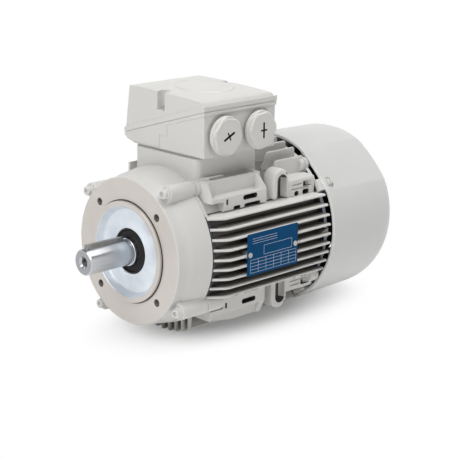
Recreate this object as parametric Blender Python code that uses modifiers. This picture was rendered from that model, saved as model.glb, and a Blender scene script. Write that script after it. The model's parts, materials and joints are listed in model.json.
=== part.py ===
"""Three-phase cage induction motor for flange mounting, with its terminal box on top.

The shaft lies along X: the drive end points to -X and the fan to +X. Z is up and lengths are in metres.
The origin is below the middle of the motor, on the plane that the motor rests on.
"""

import math

import bmesh
import bpy
from mathutils import Matrix, Vector

# Fits between pieces
CLEARANCE = 0.0003
AIR_GAP = 0.0005

# Shaft and key
SHAFT_DIAMETER = 0.028
SHAFT_EXTENSION = 0.060
SHAFT_CHAMFER = 0.001
SEAT_STEP = 0.001
SHOULDER_STEP = 0.004
FAN_SEAT_STEP = 0.0025
CENTRE_HOLE_DIAMETER = 0.0085
CENTRE_HOLE_DEPTH = 0.022
KEY_WIDTH = 0.008
KEY_HEIGHT = 0.007
KEY_LENGTH = 0.050
KEYWAY_DEPTH = 0.004
KEY_SETBACK = 0.005
KEY_LEAN = math.radians(10)

# Ball bearings and shaft seal
BEARING_SECTION = 0.016
BEARING_WIDTH = 0.016
BALL_DIAMETER = 0.009
BALL_COUNT = 9
RACE_LIP = 0.003
RACE_GAP = 0.0006
CAGE_WALL = 0.0016
CAGE_WIDTH = 0.011
SEAL_SECTION = 0.0092
SEAL_WIDTH = 0.0075
SEAL_SETBACK = 0.0055
SPRING_WIDTH = 0.002
SPRING_SECTION = 0.0035

# Drive-end shield with its face flange
SPIGOT_DIAMETER = 0.110
SPIGOT_HEIGHT = 0.0035
SPIGOT_WALL = 0.005
RECESS_DEPTH = 0.006
RECESS_DRAFT = 0.003
FLANGE_HOLE_STEP = 0.010
FLANGE_EDGE = 0.015
FLANGE_HOLE_DIAMETER = 0.0068
FLANGE_HOLE_DEPTH = 0.015
FLANGE_HOLE_COUNT = 4
FLANGE_ROUNDING = 0.0015
SHIELD_LENGTH = 0.043
SHIELD_WALL = 0.007
SHIELD_FACE_WALL = 0.007
SHIELD_RIM = 0.005
REGISTER_LENGTH = 0.006
REGISTER_WALL = 0.005
SEAL_LIP_WALL = 0.0035
SEAL_LIP_GAP = 0.004
HUB_WALL = 0.007
HUB_LIP = 0.002

# Fan-end shield
PLATE_WALL = 0.0048
BEARING_INSET = 0.002
BACK_WALL = 0.0035
ARM_WIDTH = 0.014
ARM_LENGTH = 0.022
FAN_LUG_GAP = 0.0007

# Screws that tie the shields to the frame
TIE_STEP = 0.0057
TIE_TURN = math.radians(54)
TIE_HEAD_DIAMETER = 0.010
TIE_HEAD_HEIGHT = 0.006
TIE_SHANK_DIAMETER = 0.006
TIE_GRIP = 0.016
LUG_RADIUS = 0.008
LUG_SETBACK = 0.008
FRAME_LUG_LENGTH = 0.022

# Stator frame
FRAME_LENGTH = 0.166
CORE_DIAMETER = 0.152
FRAME_WALL = 0.007
RIM_STEP = 0.003
FIN_HEIGHT = 0.016
FIN_PITCH = 0.0106
FIN_COUNT = 9
FIN_ROOT = 0.004
FIN_TIP = 0.0026
FIN_RAMP = 0.015
FIN_RAMP_FOOT = 0.004
UPRIGHT_FIN_PITCH = 0.012
UPRIGHT_FIN_COUNT = 7
TOP_FIN_PITCH = 0.0135
TOP_FIN_COUNT = 9
TOP_FIN_LENGTH = 0.052
TOP_FIN_SLANT = 0.008

# Corner pads of the frame, where feet can be screwed on
PAD_SIDE_INSET = 0.008
PAD_TOP_INSET = 0.005
PAD_HEIGHT = 0.0155
LEDGE_DROP = 0.0165
LEDGE_DEPTH = 0.010
PAD_WEB = 0.015
DRIVE_PAD_SETBACK = 0.007
DRIVE_PAD_LENGTH = 0.079
DRIVE_PAD_SLANT = 0.003
FAN_PAD_LENGTH = 0.036
BOSS_RADIUS = 0.0145
BOSS_SETBACK = 0.111
BOSS_STEP = 0.001
CHANNEL_DIAMETER = 0.017
CHANNEL_CAP = 0.011
SLOT_LENGTH = 0.021
SLOT_HEIGHT = 0.005
SLOT_DEPTH = 0.007
SLOT_DROP = 0.002
SLOT_SETBACK = 0.0463
FAN_SLOT_SETBACK = 0.002

# Stator and rotor
WINDING_OVERHANG = 0.020
WINDING_SPACE = 0.008
WINDING_INSET = 0.007
CORE_BORE = 0.0956
WINDING_LIFT = 0.003
END_RING_LENGTH = 0.008
END_RING_INSET = 0.002
END_RING_WALL = 0.016

# Fan and cowl
FAN_DIAMETER = 0.164
FAN_LENGTH = 0.034
FAN_HUB_WALL = 0.009
FAN_BLADES = 8
FAN_BLADE_WALL = 0.0025
FAN_PLATE_WALL = 0.003
FAN_PLATE_DIAMETER = 0.124
FAN_SETBACK = 0.0272
CLIP_WIDTH = 0.0012
CLIP_SECTION = 0.004
CLIP_GROOVE = 0.001
SHAFT_TAIL = 0.003
COWL_GAP = 0.0061
COWL_REAR_SPACE = 0.0355
COWL_WALL = 0.0025
COWL_TAPER = 0.002
COWL_REAR_ROUNDING = 0.024
COWL_REAR_DROP = 0.020
KNEE_BACK = 0.3
KNEE_DROP = 0.3
COWL_SCREW_SETBACK = 0.0118
COWL_SCREW_FACET = 5
COWL_SCREW_DIAMETER = 0.004
COWL_SCREW_HEAD = 0.009
COWL_SCREW_HEAD_HEIGHT = 0.0025
COWL_SCREW_GRIP = 0.010
GRILLE_RINGS = 3
GRILLE_SLOTS = 10
GRILLE_SLOT_WIDTH = 0.007
GRILLE_BAR = 0.005
GRILLE_CENTRE = 0.018

# Pedestal and terminal box
PEDESTAL_SETBACK = 0.0097
PEDESTAL_LENGTH = 0.0863
PEDESTAL_WIDTH = 0.097
PEDESTAL_HEIGHT = 0.017
PEDESTAL_ROUNDING = 0.008
LEAD_HOLE_LENGTH = 0.044
LEAD_HOLE_WIDTH = 0.037
LEAD_HOLE_EDGE = 0.0035
GASKET = 0.0024
GASKET_INSET = 0.002
PLUG_HEAD_DIAMETER = 0.042
PLUG_HEAD_HEIGHT = 0.008
PLUG_HEX = 0.0035
PLUG_HEX_INSET = 0.001
PLUG_THREAD_DIAMETER = 0.032
PLUG_THREAD_LENGTH = 0.012
PLUG_GAP = 0.009
PLUG_SIDE = 0.0272
PLUG_FLOOR = 0.001
PLUG_TOP = 0.006
PLUG_SEAL = 0.0014
PLUG_SEAL_SECTION = 0.004
PLUG_SLOT_WIDTH = 0.0022
PLUG_SLOT_LENGTHS = (0.016, 0.009)
PLUG_SLOT_DEPTH = 0.0015
PLUG_TURNS = (math.radians(48), math.radians(5))
PLUG_SLOT_TURNS = (math.radians(26), math.radians(90))
BOX_WIDTH = 0.124
BOX_SHIFT_X = 0.0055
BOX_SHIFT_Y = -0.002
BOX_FAR_HEIGHT = 0.0105
BOX_WALL = 0.0035
BOX_FLOOR = 0.004
BOX_BOSS = 0.016
LID_GASKET = 0.0012
LID_LIP = 0.008
LID_CROWN = 0.008
LID_WALL = 0.003
LID_FOOT_WALL = 0.0045
LID_NEAR_DRAFT = 0.0035
LID_FAR_DRAFT = 0.0045
LID_FAR_DROP = 0.003
LID_RIM = 0.0015
LID_RIM_HEIGHT = 0.004
LID_CHANNEL = 0.008
LID_SCREW_SHIFT = 0.005
LID_SCREW_SEAT = 0.012
LID_SCREW_DIAMETER = 0.004
LID_SCREW_HEAD = 0.007
LID_SCREW_HEAD_HEIGHT = 0.0035
LID_SCREW_GRIP = 0.010

# Terminal board and the screws in the box
BOARD_SIZE = (0.062, 0.042, 0.010)
BOARD_SHIFT = 0.020
STUD_DIAMETER = 0.005
STUD_HEIGHT = 0.016
STUD_SINK = 0.007
STUD_PITCH = (0.020, 0.022)
NUT_SIZE = 0.009
NUT_HEIGHT = 0.004
LINK_WALL = 0.0012
LINK_WIDTH = 0.009
BOX_SCREW_DIAMETER = 0.005
BOX_SCREW_HEAD = 0.009
BOX_SCREW_HEAD_HEIGHT = 0.004
BOX_SCREW_GRIP = 0.009
BOX_SCREW_INSET = 0.009
BOX_SCREW_EDGE = 0.0185
EARTH_SCREW_INSET = 0.0145
EARTH_SCREW_GRIP = 0.0027

# Rating plate
RATING_PLATE_LENGTH = 0.077
RATING_PLATE_HEIGHT = 0.046
RATING_PLATE_WALL = 0.0008
RATING_PLATE_SETBACK = 0.0387
RIVET_DIAMETER = 0.0035
RIVET_HEAD = 0.006
RIVET_CROWN = 0.0036
RIVET_HEAD_HEIGHT = 0.0015
RIVET_GRIP = 0.008
RIVET_INSET = 0.004
RIVET_BOSS = 0.010

# Facets of round shapes
ROUND = 24
BORE_ROUND = 32
COWL_ROUND = 32
BEARING_ROUND = 20
PLUG_ROUND = 18
HOLE_ROUND = 10
SMALL_ROUND = 8
HEX = 6

# Radii worked out from the shaft outwards
SHAFT_R = SHAFT_DIAMETER / 2
SEAT_R = SHAFT_R + SEAT_STEP
SHOULDER_R = SEAT_R + SHOULDER_STEP
FAN_SEAT_R = SEAT_R - FAN_SEAT_STEP
BEARING_R = SEAT_R + BEARING_SECTION
PITCH_R = SEAT_R + BEARING_SECTION / 2
BALL_R = BALL_DIAMETER / 2
HOUSING_R = BEARING_R + CLEARANCE
HUB_R = HOUSING_R + HUB_WALL
SEAL_R = SEAT_R + CLEARANCE + SEAL_SECTION
SPIGOT_R = SPIGOT_DIAMETER / 2
FLANGE_HOLE_R = SPIGOT_R + FLANGE_HOLE_STEP
FLANGE_R = FLANGE_HOLE_R + FLANGE_EDGE
BORE_R = CORE_DIAMETER / 2
BARREL_R = BORE_R + FRAME_WALL
MID_WALL_R = BORE_R + FRAME_WALL / 2
RIM_R = BARREL_R + RIM_STEP
FIN_R = BARREL_R + FIN_HEIGHT
COWL_R = FIN_R
REGISTER_R = BORE_R - CLEARANCE
TIE_R = max(BARREL_R + TIE_STEP, FLANGE_R + TIE_HEAD_DIAMETER / 2 + CLEARANCE)
ROTOR_R = CORE_BORE / 2 - AIR_GAP
REST_DEPTH = COWL_R * math.cos(math.pi / COWL_ROUND)

# Places along the shaft, from the flange face
FACE_BACK = RECESS_DEPTH + SHIELD_FACE_WALL
SEAL_END = SEAL_SETBACK + SEAL_WIDTH
BEARING_START = SEAL_END + SEAL_LIP_WALL + 2 * CLEARANCE
BEARING_END = BEARING_START + BEARING_WIDTH
FRAME_START = SHIELD_LENGTH + CLEARANCE
FRAME_END = FRAME_START + FRAME_LENGTH
WINDING_START = FRAME_START + WINDING_SPACE
CORE_START = WINDING_START + WINDING_OVERHANG
CORE_END = FRAME_END - WINDING_SPACE - WINDING_OVERHANG
FAN_SHIELD_START = FRAME_END + CLEARANCE
FAN_BEARING_START = FAN_SHIELD_START + BEARING_INSET
FAN_BEARING_END = FAN_BEARING_START + BEARING_WIDTH
SPRING_END = FAN_BEARING_END + CLEARANCE + SPRING_WIDTH
FAN_HUB_END = SPRING_END + CLEARANCE + BACK_WALL
FAN_START = FAN_HUB_END + FAN_SETBACK
FAN_END = FAN_START + FAN_LENGTH
CLIP_START = FAN_END + CLEARANCE
SHAFT_END = CLIP_START + CLIP_WIDTH + 2 * CLEARANCE + SHAFT_TAIL
COWL_START = FRAME_END + COWL_GAP
COWL_END = SHAFT_END + COWL_REAR_SPACE
COWL_SCREW_X = COWL_START + COWL_SCREW_SETBACK

# Places of the pedestal and the terminal box
PEDESTAL_START = FRAME_START + PEDESTAL_SETBACK
PEDESTAL_END = PEDESTAL_START + PEDESTAL_LENGTH
PEDESTAL_TOP = BARREL_R + PEDESTAL_HEIGHT
PEDESTAL_NEAR = -PEDESTAL_WIDTH / 2
BOX_BOTTOM = PEDESTAL_TOP + GASKET + 2 * CLEARANCE
PLUG_HEAD_R = PLUG_HEAD_DIAMETER / 2
PLUG_PITCH = PLUG_HEAD_DIAMETER + PLUG_GAP
PLUG_Z = BOX_BOTTOM + PLUG_HEAD_R + PLUG_FLOOR
BOX_LENGTH = PLUG_PITCH + 2 * PLUG_SIDE
BOX_X = (PEDESTAL_START + PEDESTAL_END) / 2 + BOX_SHIFT_X
BOX_START = BOX_X - BOX_LENGTH / 2
BOX_END = BOX_X + BOX_LENGTH / 2
BOX_NEAR = BOX_SHIFT_Y - BOX_WIDTH / 2
BOX_FAR = BOX_SHIFT_Y + BOX_WIDTH / 2
BOX_NEAR_TOP = PLUG_Z + PLUG_HEAD_R + PLUG_TOP
BOX_FAR_TOP = BOX_BOTTOM + BOX_FAR_HEIGHT
BOX_FLOOR_TOP = BOX_BOTTOM + BOX_FLOOR
LID_GAP = LID_GASKET + 2 * CLEARANCE
LID_EDGE_TOP = BOX_NEAR_TOP + LID_LIP
LID_TOP = LID_EDGE_TOP + LID_CROWN
LID_SCREW_Y = BOX_SHIFT_Y + LID_SCREW_SHIFT
PLATE_Y = -(FIN_R - RATING_PLATE_WALL - CLEARANCE - RIVET_HEAD_HEIGHT)

# The motor's middle and its resting plane give the place of the flange centre
FLANGE_CENTRE = Vector(((SHAFT_EXTENSION - COWL_END) / 2, 0, REST_DEPTH))

# Local axes: AXIAL puts local XYZ on the motor's YZX, SIDEWAYS puts local XYZ on X, Z and -Y
UPRIGHT = Matrix.Identity(4)
AXIAL = Matrix(((0, 0, 1, 0), (1, 0, 0, 0), (0, 1, 0, 0), (0, 0, 0, 1)))
SIDEWAYS = Matrix(((1, 0, 0, 0), (0, 0, -1, 0), (0, 1, 0, 0), (0, 0, 0, 1)))

for old in list(bpy.data.objects):
    bpy.data.objects.remove(old, do_unlink=True)

PARTS = bpy.data.collections.new("induction_motor")
CUTTERS = bpy.data.collections.new("cutters")
for made in (PARTS, CUTTERS):
    bpy.context.scene.collection.children.link(made)

HOUSING = bpy.data.objects.new("flange_centre", None)
HOUSING.location = FLANGE_CENTRE
PARTS.objects.link(HOUSING)


def finish(name, colour, roughness, metallic):
    """A Principled material."""
    made = bpy.data.materials.new(name)
    made.use_nodes = True
    shader = made.node_tree.nodes["Principled BSDF"]
    shader.inputs["Base Color"].default_value = (*colour, 1)
    shader.inputs["Roughness"].default_value = roughness
    shader.inputs["Metallic"].default_value = metallic
    return made


PAINT = finish("grey_paint", (0.62, 0.61, 0.58), 0.45, 0.0)
STEEL = finish("bright_steel", (0.62, 0.62, 0.63), 0.25, 1.0)
ZINC = finish("zinc_screw", (0.66, 0.66, 0.64), 0.35, 1.0)
CORE_STEEL = finish("core_steel", (0.22, 0.22, 0.24), 0.5, 0.9)
VARNISH = finish("varnished_copper", (0.42, 0.16, 0.07), 0.4, 0.2)
CAST = finish("cast_aluminium", (0.68, 0.69, 0.71), 0.45, 0.9)
RUBBER = finish("black_rubber", (0.02, 0.02, 0.02), 0.7, 0.0)
PLASTIC = finish("grey_plastic", (0.66, 0.65, 0.63), 0.4, 0.0)
BLACK_PLASTIC = finish("black_plastic", (0.03, 0.03, 0.035), 0.5, 0.0)
BRASS = finish("brass", (0.62, 0.45, 0.16), 0.3, 1.0)
BLUE_PLATE = finish("blue_plate", (0.0, 0.055, 0.19), 0.35, 0.2)


def place(name, mesh, look, axes=UPRIGHT, tool=False):
    """Links a mesh as a piece, or as a hidden tool, in the flange's frame."""
    obj = bpy.data.objects.new(name, mesh)
    (CUTTERS if tool else PARTS).objects.link(obj)
    obj.parent = HOUSING
    obj.matrix_local = axes
    if tool:
        obj.hide_render = True
        obj.display_type = "WIRE"
    else:
        mesh.materials.append(look)
    return obj


def turned(name, profile, look=None, steps=ROUND, axes=AXIAL, turn=0.0):
    """A turned solid from (along, radius) points, or a ring where its profile stays off the axis."""
    area = sum(a[0] * b[1] - b[0] * a[1] for a, b in zip(profile, profile[1:] + profile[:1]))
    points = profile if area > 0 else profile[::-1]
    ends_on_axis = min(radius for _, radius in points) == 0
    if ends_on_axis:
        first = next(i for i, point in enumerate(points) if point[1] == 0 and points[i - 1][1] == 0)
        points = points[first:] + points[:first]
    edges = [(i, i + 1) for i in range(len(points) - 1)]
    if not ends_on_axis:
        edges.append((len(points) - 1, 0))
    mesh = bpy.data.meshes.new(name)
    mesh.from_pydata([(radius, 0, along) for along, radius in points], edges, [])
    obj = place(name, mesh, look, axes @ Matrix.Rotation(turn, 4, "Z"), look is None)
    screw = obj.modifiers.new("turn", "SCREW")
    screw.steps = screw.render_steps = steps
    screw.use_merge_vertices = True
    screw.merge_threshold = 0.00001
    return obj


def extruded(name, outlines, start, end, look=None, axes=AXIAL):
    """Flat outlines, each a list of points, drawn out along the local Z from start to end."""
    curve = bpy.data.curves.new(name, "CURVE")
    curve.dimensions = "2D"
    curve.fill_mode = "BOTH"
    curve.extrude = (end - start) / 2
    for outline in outlines:
        spline = curve.splines.new("POLY")
        spline.points.add(len(outline) - 1)
        for point, corner in zip(spline.points, outline):
            point.co = (*corner, 0, 1)
        spline.use_cyclic_u = True
    guide = bpy.data.objects.new(name + "_outline", curve)
    CUTTERS.objects.link(guide)
    bpy.context.view_layer.update()
    evaluated = guide.evaluated_get(bpy.context.evaluated_depsgraph_get())
    mesh = bpy.data.meshes.new_from_object(evaluated)
    bpy.data.objects.remove(guide)
    solid = bmesh.new()
    solid.from_mesh(mesh)
    bmesh.ops.remove_doubles(solid, verts=solid.verts, dist=0.000005)
    bmesh.ops.translate(solid, verts=solid.verts, vec=(0, 0, (start + end) / 2))
    bmesh.ops.recalc_face_normals(solid, faces=solid.faces)
    solid.to_mesh(mesh)
    solid.free()
    mesh.name = name
    return place(name, mesh, look, axes, look is None)


def box(name, low, high, look=None):
    """A plain block between two corners."""
    low, high = Vector(low), Vector(high)
    solid = bmesh.new()
    bmesh.ops.create_cube(solid, size=1)
    bmesh.ops.scale(solid, verts=solid.verts, vec=high - low)
    bmesh.ops.translate(solid, verts=solid.verts, vec=(low + high) / 2)
    mesh = bpy.data.meshes.new(name)
    solid.to_mesh(mesh)
    solid.free()
    return place(name, mesh, look, tool=look is None)


def rods(name, spans, look=None, sides=HOLE_ROUND):
    """Round rods, each from (start, end, radius), that don't touch each other."""
    solid = bmesh.new()
    for start, end, radius in spans:
        start, end = Vector(start), Vector(end)
        along = end - start
        at = Matrix.Translation((start + end) / 2) @ along.to_track_quat("Z", "Y").to_matrix().to_4x4()
        size = {"radius1": radius, "radius2": radius, "depth": along.length}
        bmesh.ops.create_cone(solid, cap_ends=True, segments=sides, matrix=at, **size)
    mesh = bpy.data.meshes.new(name)
    solid.to_mesh(mesh)
    solid.free()
    return place(name, mesh, look, tool=look is None)


def combine(body, tool, operation):
    """Adds a Boolean with a tool to a piece."""
    modifier = body.modifiers.new(tool.name, "BOOLEAN")
    modifier.operation = operation
    modifier.object = tool


def cut(body, *tools):
    """Takes tools away from a piece."""
    for tool in tools:
        combine(body, tool, "DIFFERENCE")


def fuse(body, *tools):
    """Joins tools to a piece."""
    for tool in tools:
        combine(body, tool, "UNION")


def arc(radius, first, last, count):
    """Points of an arc about the axis, both ends included."""
    angles = [first + (last - first) * i / (count - 1) for i in range(count)]
    return [(radius * math.cos(a), radius * math.sin(a)) for a in angles]


def circle(radius, count, centre=(0, 0), turn=0.0):
    """Corners of a regular polygon."""
    angles = [turn + 2 * math.pi * i / count for i in range(count)]
    return [(centre[0] + radius * math.cos(a), centre[1] + radius * math.sin(a)) for a in angles]


def rectangle(low, high):
    """Corners of a rectangle."""
    return [low, (high[0], low[1]), high, (low[0], high[1])]


def polar(radius, angle, along=0.0):
    """A point about the shaft axis, in the flange's frame."""
    return Vector((along, radius * math.cos(angle), radius * math.sin(angle)))


def spaced(pitch, count):
    """Places with a pitch, centred on zero."""
    return [pitch * (i - (count - 1) / 2) for i in range(count)]


def lug_outline(angle, inner, outer, half_width):
    """A lug that runs out from the barrel and has a round end."""
    side = Vector((-math.sin(angle), math.cos(angle))) * half_width
    out = Vector((math.cos(angle), math.sin(angle)))
    turns = [math.pi * (i / 4 - 0.5) for i in range(5)]
    end = [out * (outer + half_width * math.cos(t)) + side * math.sin(t) for t in turns]
    return [tuple(p) for p in [out * inner - side, *end, out * inner + side]]


def tie_angles():
    """Angles of the shield screws about the shaft."""
    return [math.pi - TIE_TURN + math.pi / 2 * i for i in range(4)]


def tie_holes(name, start, end):
    """Holes for the shield screws."""
    radius = TIE_SHANK_DIAMETER / 2 + CLEARANCE
    spans = [(polar(TIE_R, a, start), polar(TIE_R, a, end), radius) for a in tie_angles()]
    return rods(name, spans, sides=SMALL_ROUND)


def tie_screws(name, seat, facing):
    """Shield screws with heads outside the seat, facing -1 to the drive end or 1 to the fan."""
    shank = TIE_SHANK_DIAMETER / 2
    head = TIE_HEAD_DIAMETER / 2
    under = seat + facing * CLEARANCE
    joint = FRAME_START if facing < 0 else FRAME_END
    tip = joint - facing * TIE_GRIP
    top = under + facing * TIE_HEAD_HEIGHT
    profile = [(top, 0), (top, head), (under, head), (under, shank), (tip, shank), (tip, 0)]
    for number, angle in enumerate(tie_angles(), 1):
        screw = turned(f"{name}_{number}", profile, ZINC, SMALL_ROUND)
        screw.matrix_local = Matrix.Translation(polar(TIE_R, angle)) @ AXIAL


def shaft():
    """Stepped shaft with keyway, tapped centre hole and clip groove."""
    shoulder = BEARING_END + CLEARANCE
    fan_shoulder = FAN_BEARING_START - CLEARANCE
    groove = FAN_SEAT_R - CLIP_GROOVE
    groove_end = CLIP_START + CLIP_WIDTH + CLEARANCE
    start = -SHAFT_EXTENSION
    profile = [
        (start, 0),
        (start, SHAFT_R - SHAFT_CHAMFER),
        (start + SHAFT_CHAMFER, SHAFT_R),
        (0, SHAFT_R),
        (0, SEAT_R),
        (shoulder, SEAT_R),
        (shoulder, SHOULDER_R),
        (fan_shoulder, SHOULDER_R),
        (fan_shoulder, SEAT_R),
        (FAN_HUB_END, SEAT_R),
        (FAN_HUB_END, FAN_SEAT_R),
        (FAN_END, FAN_SEAT_R),
        (FAN_END, groove),
        (groove_end, groove),
        (groove_end, FAN_SEAT_R),
        (SHAFT_END, FAN_SEAT_R),
        (SHAFT_END, 0),
    ]
    body = turned("shaft", profile, STEEL)
    radius = CENTRE_HOLE_DIAMETER / 2
    span = ((start - SHAFT_CHAMFER, 0, 0), (start + CENTRE_HOLE_DEPTH, 0, 0), radius)
    centre = rods("centre_hole", [span])
    half = KEY_WIDTH / 2 + CLEARANCE
    first = start + KEY_SETBACK - CLEARANCE
    last = first + KEY_LENGTH + 2 * CLEARANCE
    keyway = box("keyway", (first, -half, SHAFT_R - KEYWAY_DEPTH), (last, half, SHAFT_R + KEY_HEIGHT))
    keyway.matrix_local = Matrix.Rotation(-KEY_LEAN, 4, "X")
    cut(body, centre, keyway)


def shaft_key():
    """Parallel key with round ends, in the keyway."""
    half = KEY_WIDTH / 2
    first = -SHAFT_EXTENSION + KEY_SETBACK
    near, far = first + half, first + KEY_LENGTH - half
    turns = [math.pi * i / 6 for i in range(7)]
    ends = [(far + half * math.sin(t), half * math.cos(t)) for t in turns]
    ends += [(near - half * math.sin(t), -half * math.cos(t)) for t in turns]
    bottom = SHAFT_R - KEYWAY_DEPTH + CLEARANCE
    key = extruded("shaft_key", [ends], bottom, bottom + KEY_HEIGHT, STEEL, UPRIGHT)
    key.matrix_local = Matrix.Rotation(-KEY_LEAN, 4, "X")


def race_arc(middle, low, high, count=4):
    """Points of a ball groove, from angle low to high about the ball's centre."""
    radius = BALL_R + RACE_GAP
    angles = [low + (high - low) * i / count for i in range(count + 1)]
    return [(middle + radius * math.cos(a), PITCH_R + radius * math.sin(a)) for a in angles]


def bearing(name, start):
    """Deep-groove ball bearing: outer ring, inner ring, and balls in a cage."""
    end = start + BEARING_WIDTH
    middle = (start + end) / 2
    reach = math.asin(RACE_LIP / (BALL_R + RACE_GAP))
    outer = [(start, BEARING_R), (end, BEARING_R), (end, PITCH_R + RACE_LIP)]
    outer += race_arc(middle, reach, math.pi - reach) + [(start, PITCH_R + RACE_LIP)]
    turned(f"{name}_outer_ring", outer, STEEL, BEARING_ROUND)
    bore = SEAT_R + CLEARANCE
    inner = [(start, bore), (end, bore), (end, PITCH_R - RACE_LIP)]
    inner += race_arc(middle, -reach, reach - math.pi) + [(start, PITCH_R - RACE_LIP)]
    turned(f"{name}_inner_ring", inner, STEEL, BEARING_ROUND)
    low, high = middle - CAGE_WIDTH / 2, middle + CAGE_WIDTH / 2
    band = [(low, PITCH_R - CAGE_WALL / 2), (high, PITCH_R - CAGE_WALL / 2)]
    band += [(high, PITCH_R + CAGE_WALL / 2), (low, PITCH_R + CAGE_WALL / 2)]
    cage = turned(f"{name}_balls", band, STEEL, 2 * BALL_COUNT)
    solid = bmesh.new()
    for i in range(BALL_COUNT):
        at = Matrix.Translation(polar(PITCH_R, 2 * math.pi * i / BALL_COUNT, middle))
        bmesh.ops.create_uvsphere(solid, u_segments=8, v_segments=4, radius=BALL_R, matrix=at)
    mesh = bpy.data.meshes.new(f"{name}_ball_row")
    solid.to_mesh(mesh)
    solid.free()
    fuse(cage, place(f"{name}_ball_row", mesh, None, tool=True))


def shaft_seal():
    """Radial seal between the drive-end shield and the shaft."""
    bore = SEAT_R + CLEARANCE
    lip = bore + SEAL_SECTION / 3
    dish = SEAL_SETBACK + SEAL_WIDTH / 3
    profile = [(SEAL_SETBACK, SEAL_R), (SEAL_END, SEAL_R), (SEAL_END, bore), (SEAL_SETBACK, bore)]
    profile += [(dish, lip), (SEAL_SETBACK, SEAL_R - SEAL_SECTION / 4)]
    turned("shaft_seal", profile, RUBBER)


def drive_end_shield():
    """Cast shield with face flange, spigot, bearing seat and screw lugs."""

    def outside(along):
        return FLANGE_R + (RIM_R - FLANGE_R) * along / SHIELD_LENGTH

    rim = SHIELD_LENGTH - SHIELD_RIM
    seal_bore = SEAL_R + CLEARANCE
    lip = SEAT_R + SEAL_LIP_GAP
    register_end = SHIELD_LENGTH + REGISTER_LENGTH
    register_in = REGISTER_R - REGISTER_WALL
    hub_end = BEARING_END + HUB_LIP
    profile = [
        (0, FLANGE_R - FLANGE_ROUNDING),
        (FLANGE_ROUNDING, outside(FLANGE_ROUNDING)),
        (SHIELD_LENGTH, RIM_R),
        (SHIELD_LENGTH, REGISTER_R),
        (register_end, REGISTER_R),
        (register_end, register_in),
        (rim, register_in),
        (rim, outside(rim) - SHIELD_WALL),
        (FACE_BACK, outside(FACE_BACK) - SHIELD_WALL),
        (FACE_BACK, HUB_R),
        (hub_end, HUB_R),
        (hub_end, HOUSING_R),
        (BEARING_START - CLEARANCE, HOUSING_R),
        (BEARING_START - CLEARANCE, lip),
        (SEAL_END + CLEARANCE, lip),
        (SEAL_END + CLEARANCE, seal_bore),
        (RECESS_DEPTH, seal_bore),
        (RECESS_DEPTH, SPIGOT_R - SPIGOT_WALL - RECESS_DRAFT),
        (-SPIGOT_HEIGHT, SPIGOT_R - SPIGOT_WALL),
        (-SPIGOT_HEIGHT, SPIGOT_R),
        (0, SPIGOT_R),
    ]
    body = turned("drive_end_shield", profile, PAINT, BORE_ROUND)
    inner = RIM_R - SHIELD_WALL
    lugs = [lug_outline(a, inner, TIE_R, LUG_RADIUS) for a in tie_angles()]
    fuse(body, extruded("drive_lugs", lugs, LUG_SETBACK, SHIELD_LENGTH))
    spans = []
    for i in range(FLANGE_HOLE_COUNT):
        angle = math.pi / 4 + 2 * math.pi * i / FLANGE_HOLE_COUNT
        ends = polar(FLANGE_HOLE_R, angle, -FLANGE_ROUNDING), polar(FLANGE_HOLE_R, angle, FLANGE_HOLE_DEPTH)
        spans.append((*ends, FLANGE_HOLE_DIAMETER / 2))
    cut(body, rods("flange_holes", spans))
    cut(body, tie_holes("drive_tie_holes", 0, SHIELD_LENGTH + REGISTER_LENGTH))
    tie_screws("drive_shield_screw", LUG_SETBACK, -1)


def cowl_angles():
    """Angles of the cowl screws about the shaft."""
    first = 2 * math.pi * COWL_SCREW_FACET / COWL_ROUND
    return [first + math.pi / 2 * i for i in range(4)]


def cowl_radius(along):
    """Outer radius of the cowl's side."""
    span = COWL_END - COWL_REAR_ROUNDING - COWL_START
    return COWL_R - COWL_TAPER * (along - COWL_START) / span


def cowl_flat(along, wall=0.0):
    """Distance of a facet of the cowl from the axis, with a wall taken off."""
    return (cowl_radius(along) - wall) * math.cos(math.pi / COWL_ROUND)


def fan_end_shield():
    """Cast shield that holds the fan-side bearing and the cowl's screw arms."""
    start = FAN_SHIELD_START
    back = start + PLATE_WALL
    passing = SEAT_R + AIR_GAP
    register_in = REGISTER_R - REGISTER_WALL
    profile = [
        (start, RIM_R),
        (back, RIM_R),
        (back, HUB_R),
        (FAN_HUB_END, HUB_R),
        (FAN_HUB_END, passing),
        (SPRING_END + CLEARANCE, passing),
        (SPRING_END + CLEARANCE, HOUSING_R),
        (start, HOUSING_R),
        (start, register_in),
        (start - REGISTER_LENGTH, register_in),
        (start - REGISTER_LENGTH, REGISTER_R),
        (start, REGISTER_R),
    ]
    body = turned("fan_end_shield", profile, PAINT, BORE_ROUND)
    lug_end = COWL_START - FAN_LUG_GAP
    lugs = [lug_outline(a, MID_WALL_R, TIE_R, LUG_RADIUS) for a in tie_angles()]
    fuse(body, extruded("fan_lugs", lugs, start, lug_end))
    arm_end = start + ARM_LENGTH
    reach = cowl_flat(arm_end, COWL_WALL) - CLEARANCE
    half = ARM_WIDTH / 2
    arms = []
    for angle in cowl_angles():
        turn = Matrix.Rotation(angle, 2)
        corners = rectangle((MID_WALL_R, -half), (reach, half))
        arms.append([tuple(turn @ Vector(corner)) for corner in corners])
    fuse(body, extruded("cowl_arms", arms, start, arm_end))
    cut(body, tie_holes("fan_tie_holes", start - REGISTER_LENGTH, start + ARM_LENGTH))
    tap = COWL_SCREW_DIAMETER / 2 + CLEARANCE
    spans = []
    for angle in cowl_angles():
        low = cowl_flat(COWL_SCREW_X) - COWL_SCREW_GRIP - 2 * CLEARANCE
        spans.append((polar(low, angle, COWL_SCREW_X), polar(FIN_R, angle, COWL_SCREW_X), tap))
    cut(body, rods("cowl_taps", spans, sides=SMALL_ROUND))
    tie_screws("fan_shield_screw", lug_end, 1)


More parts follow.
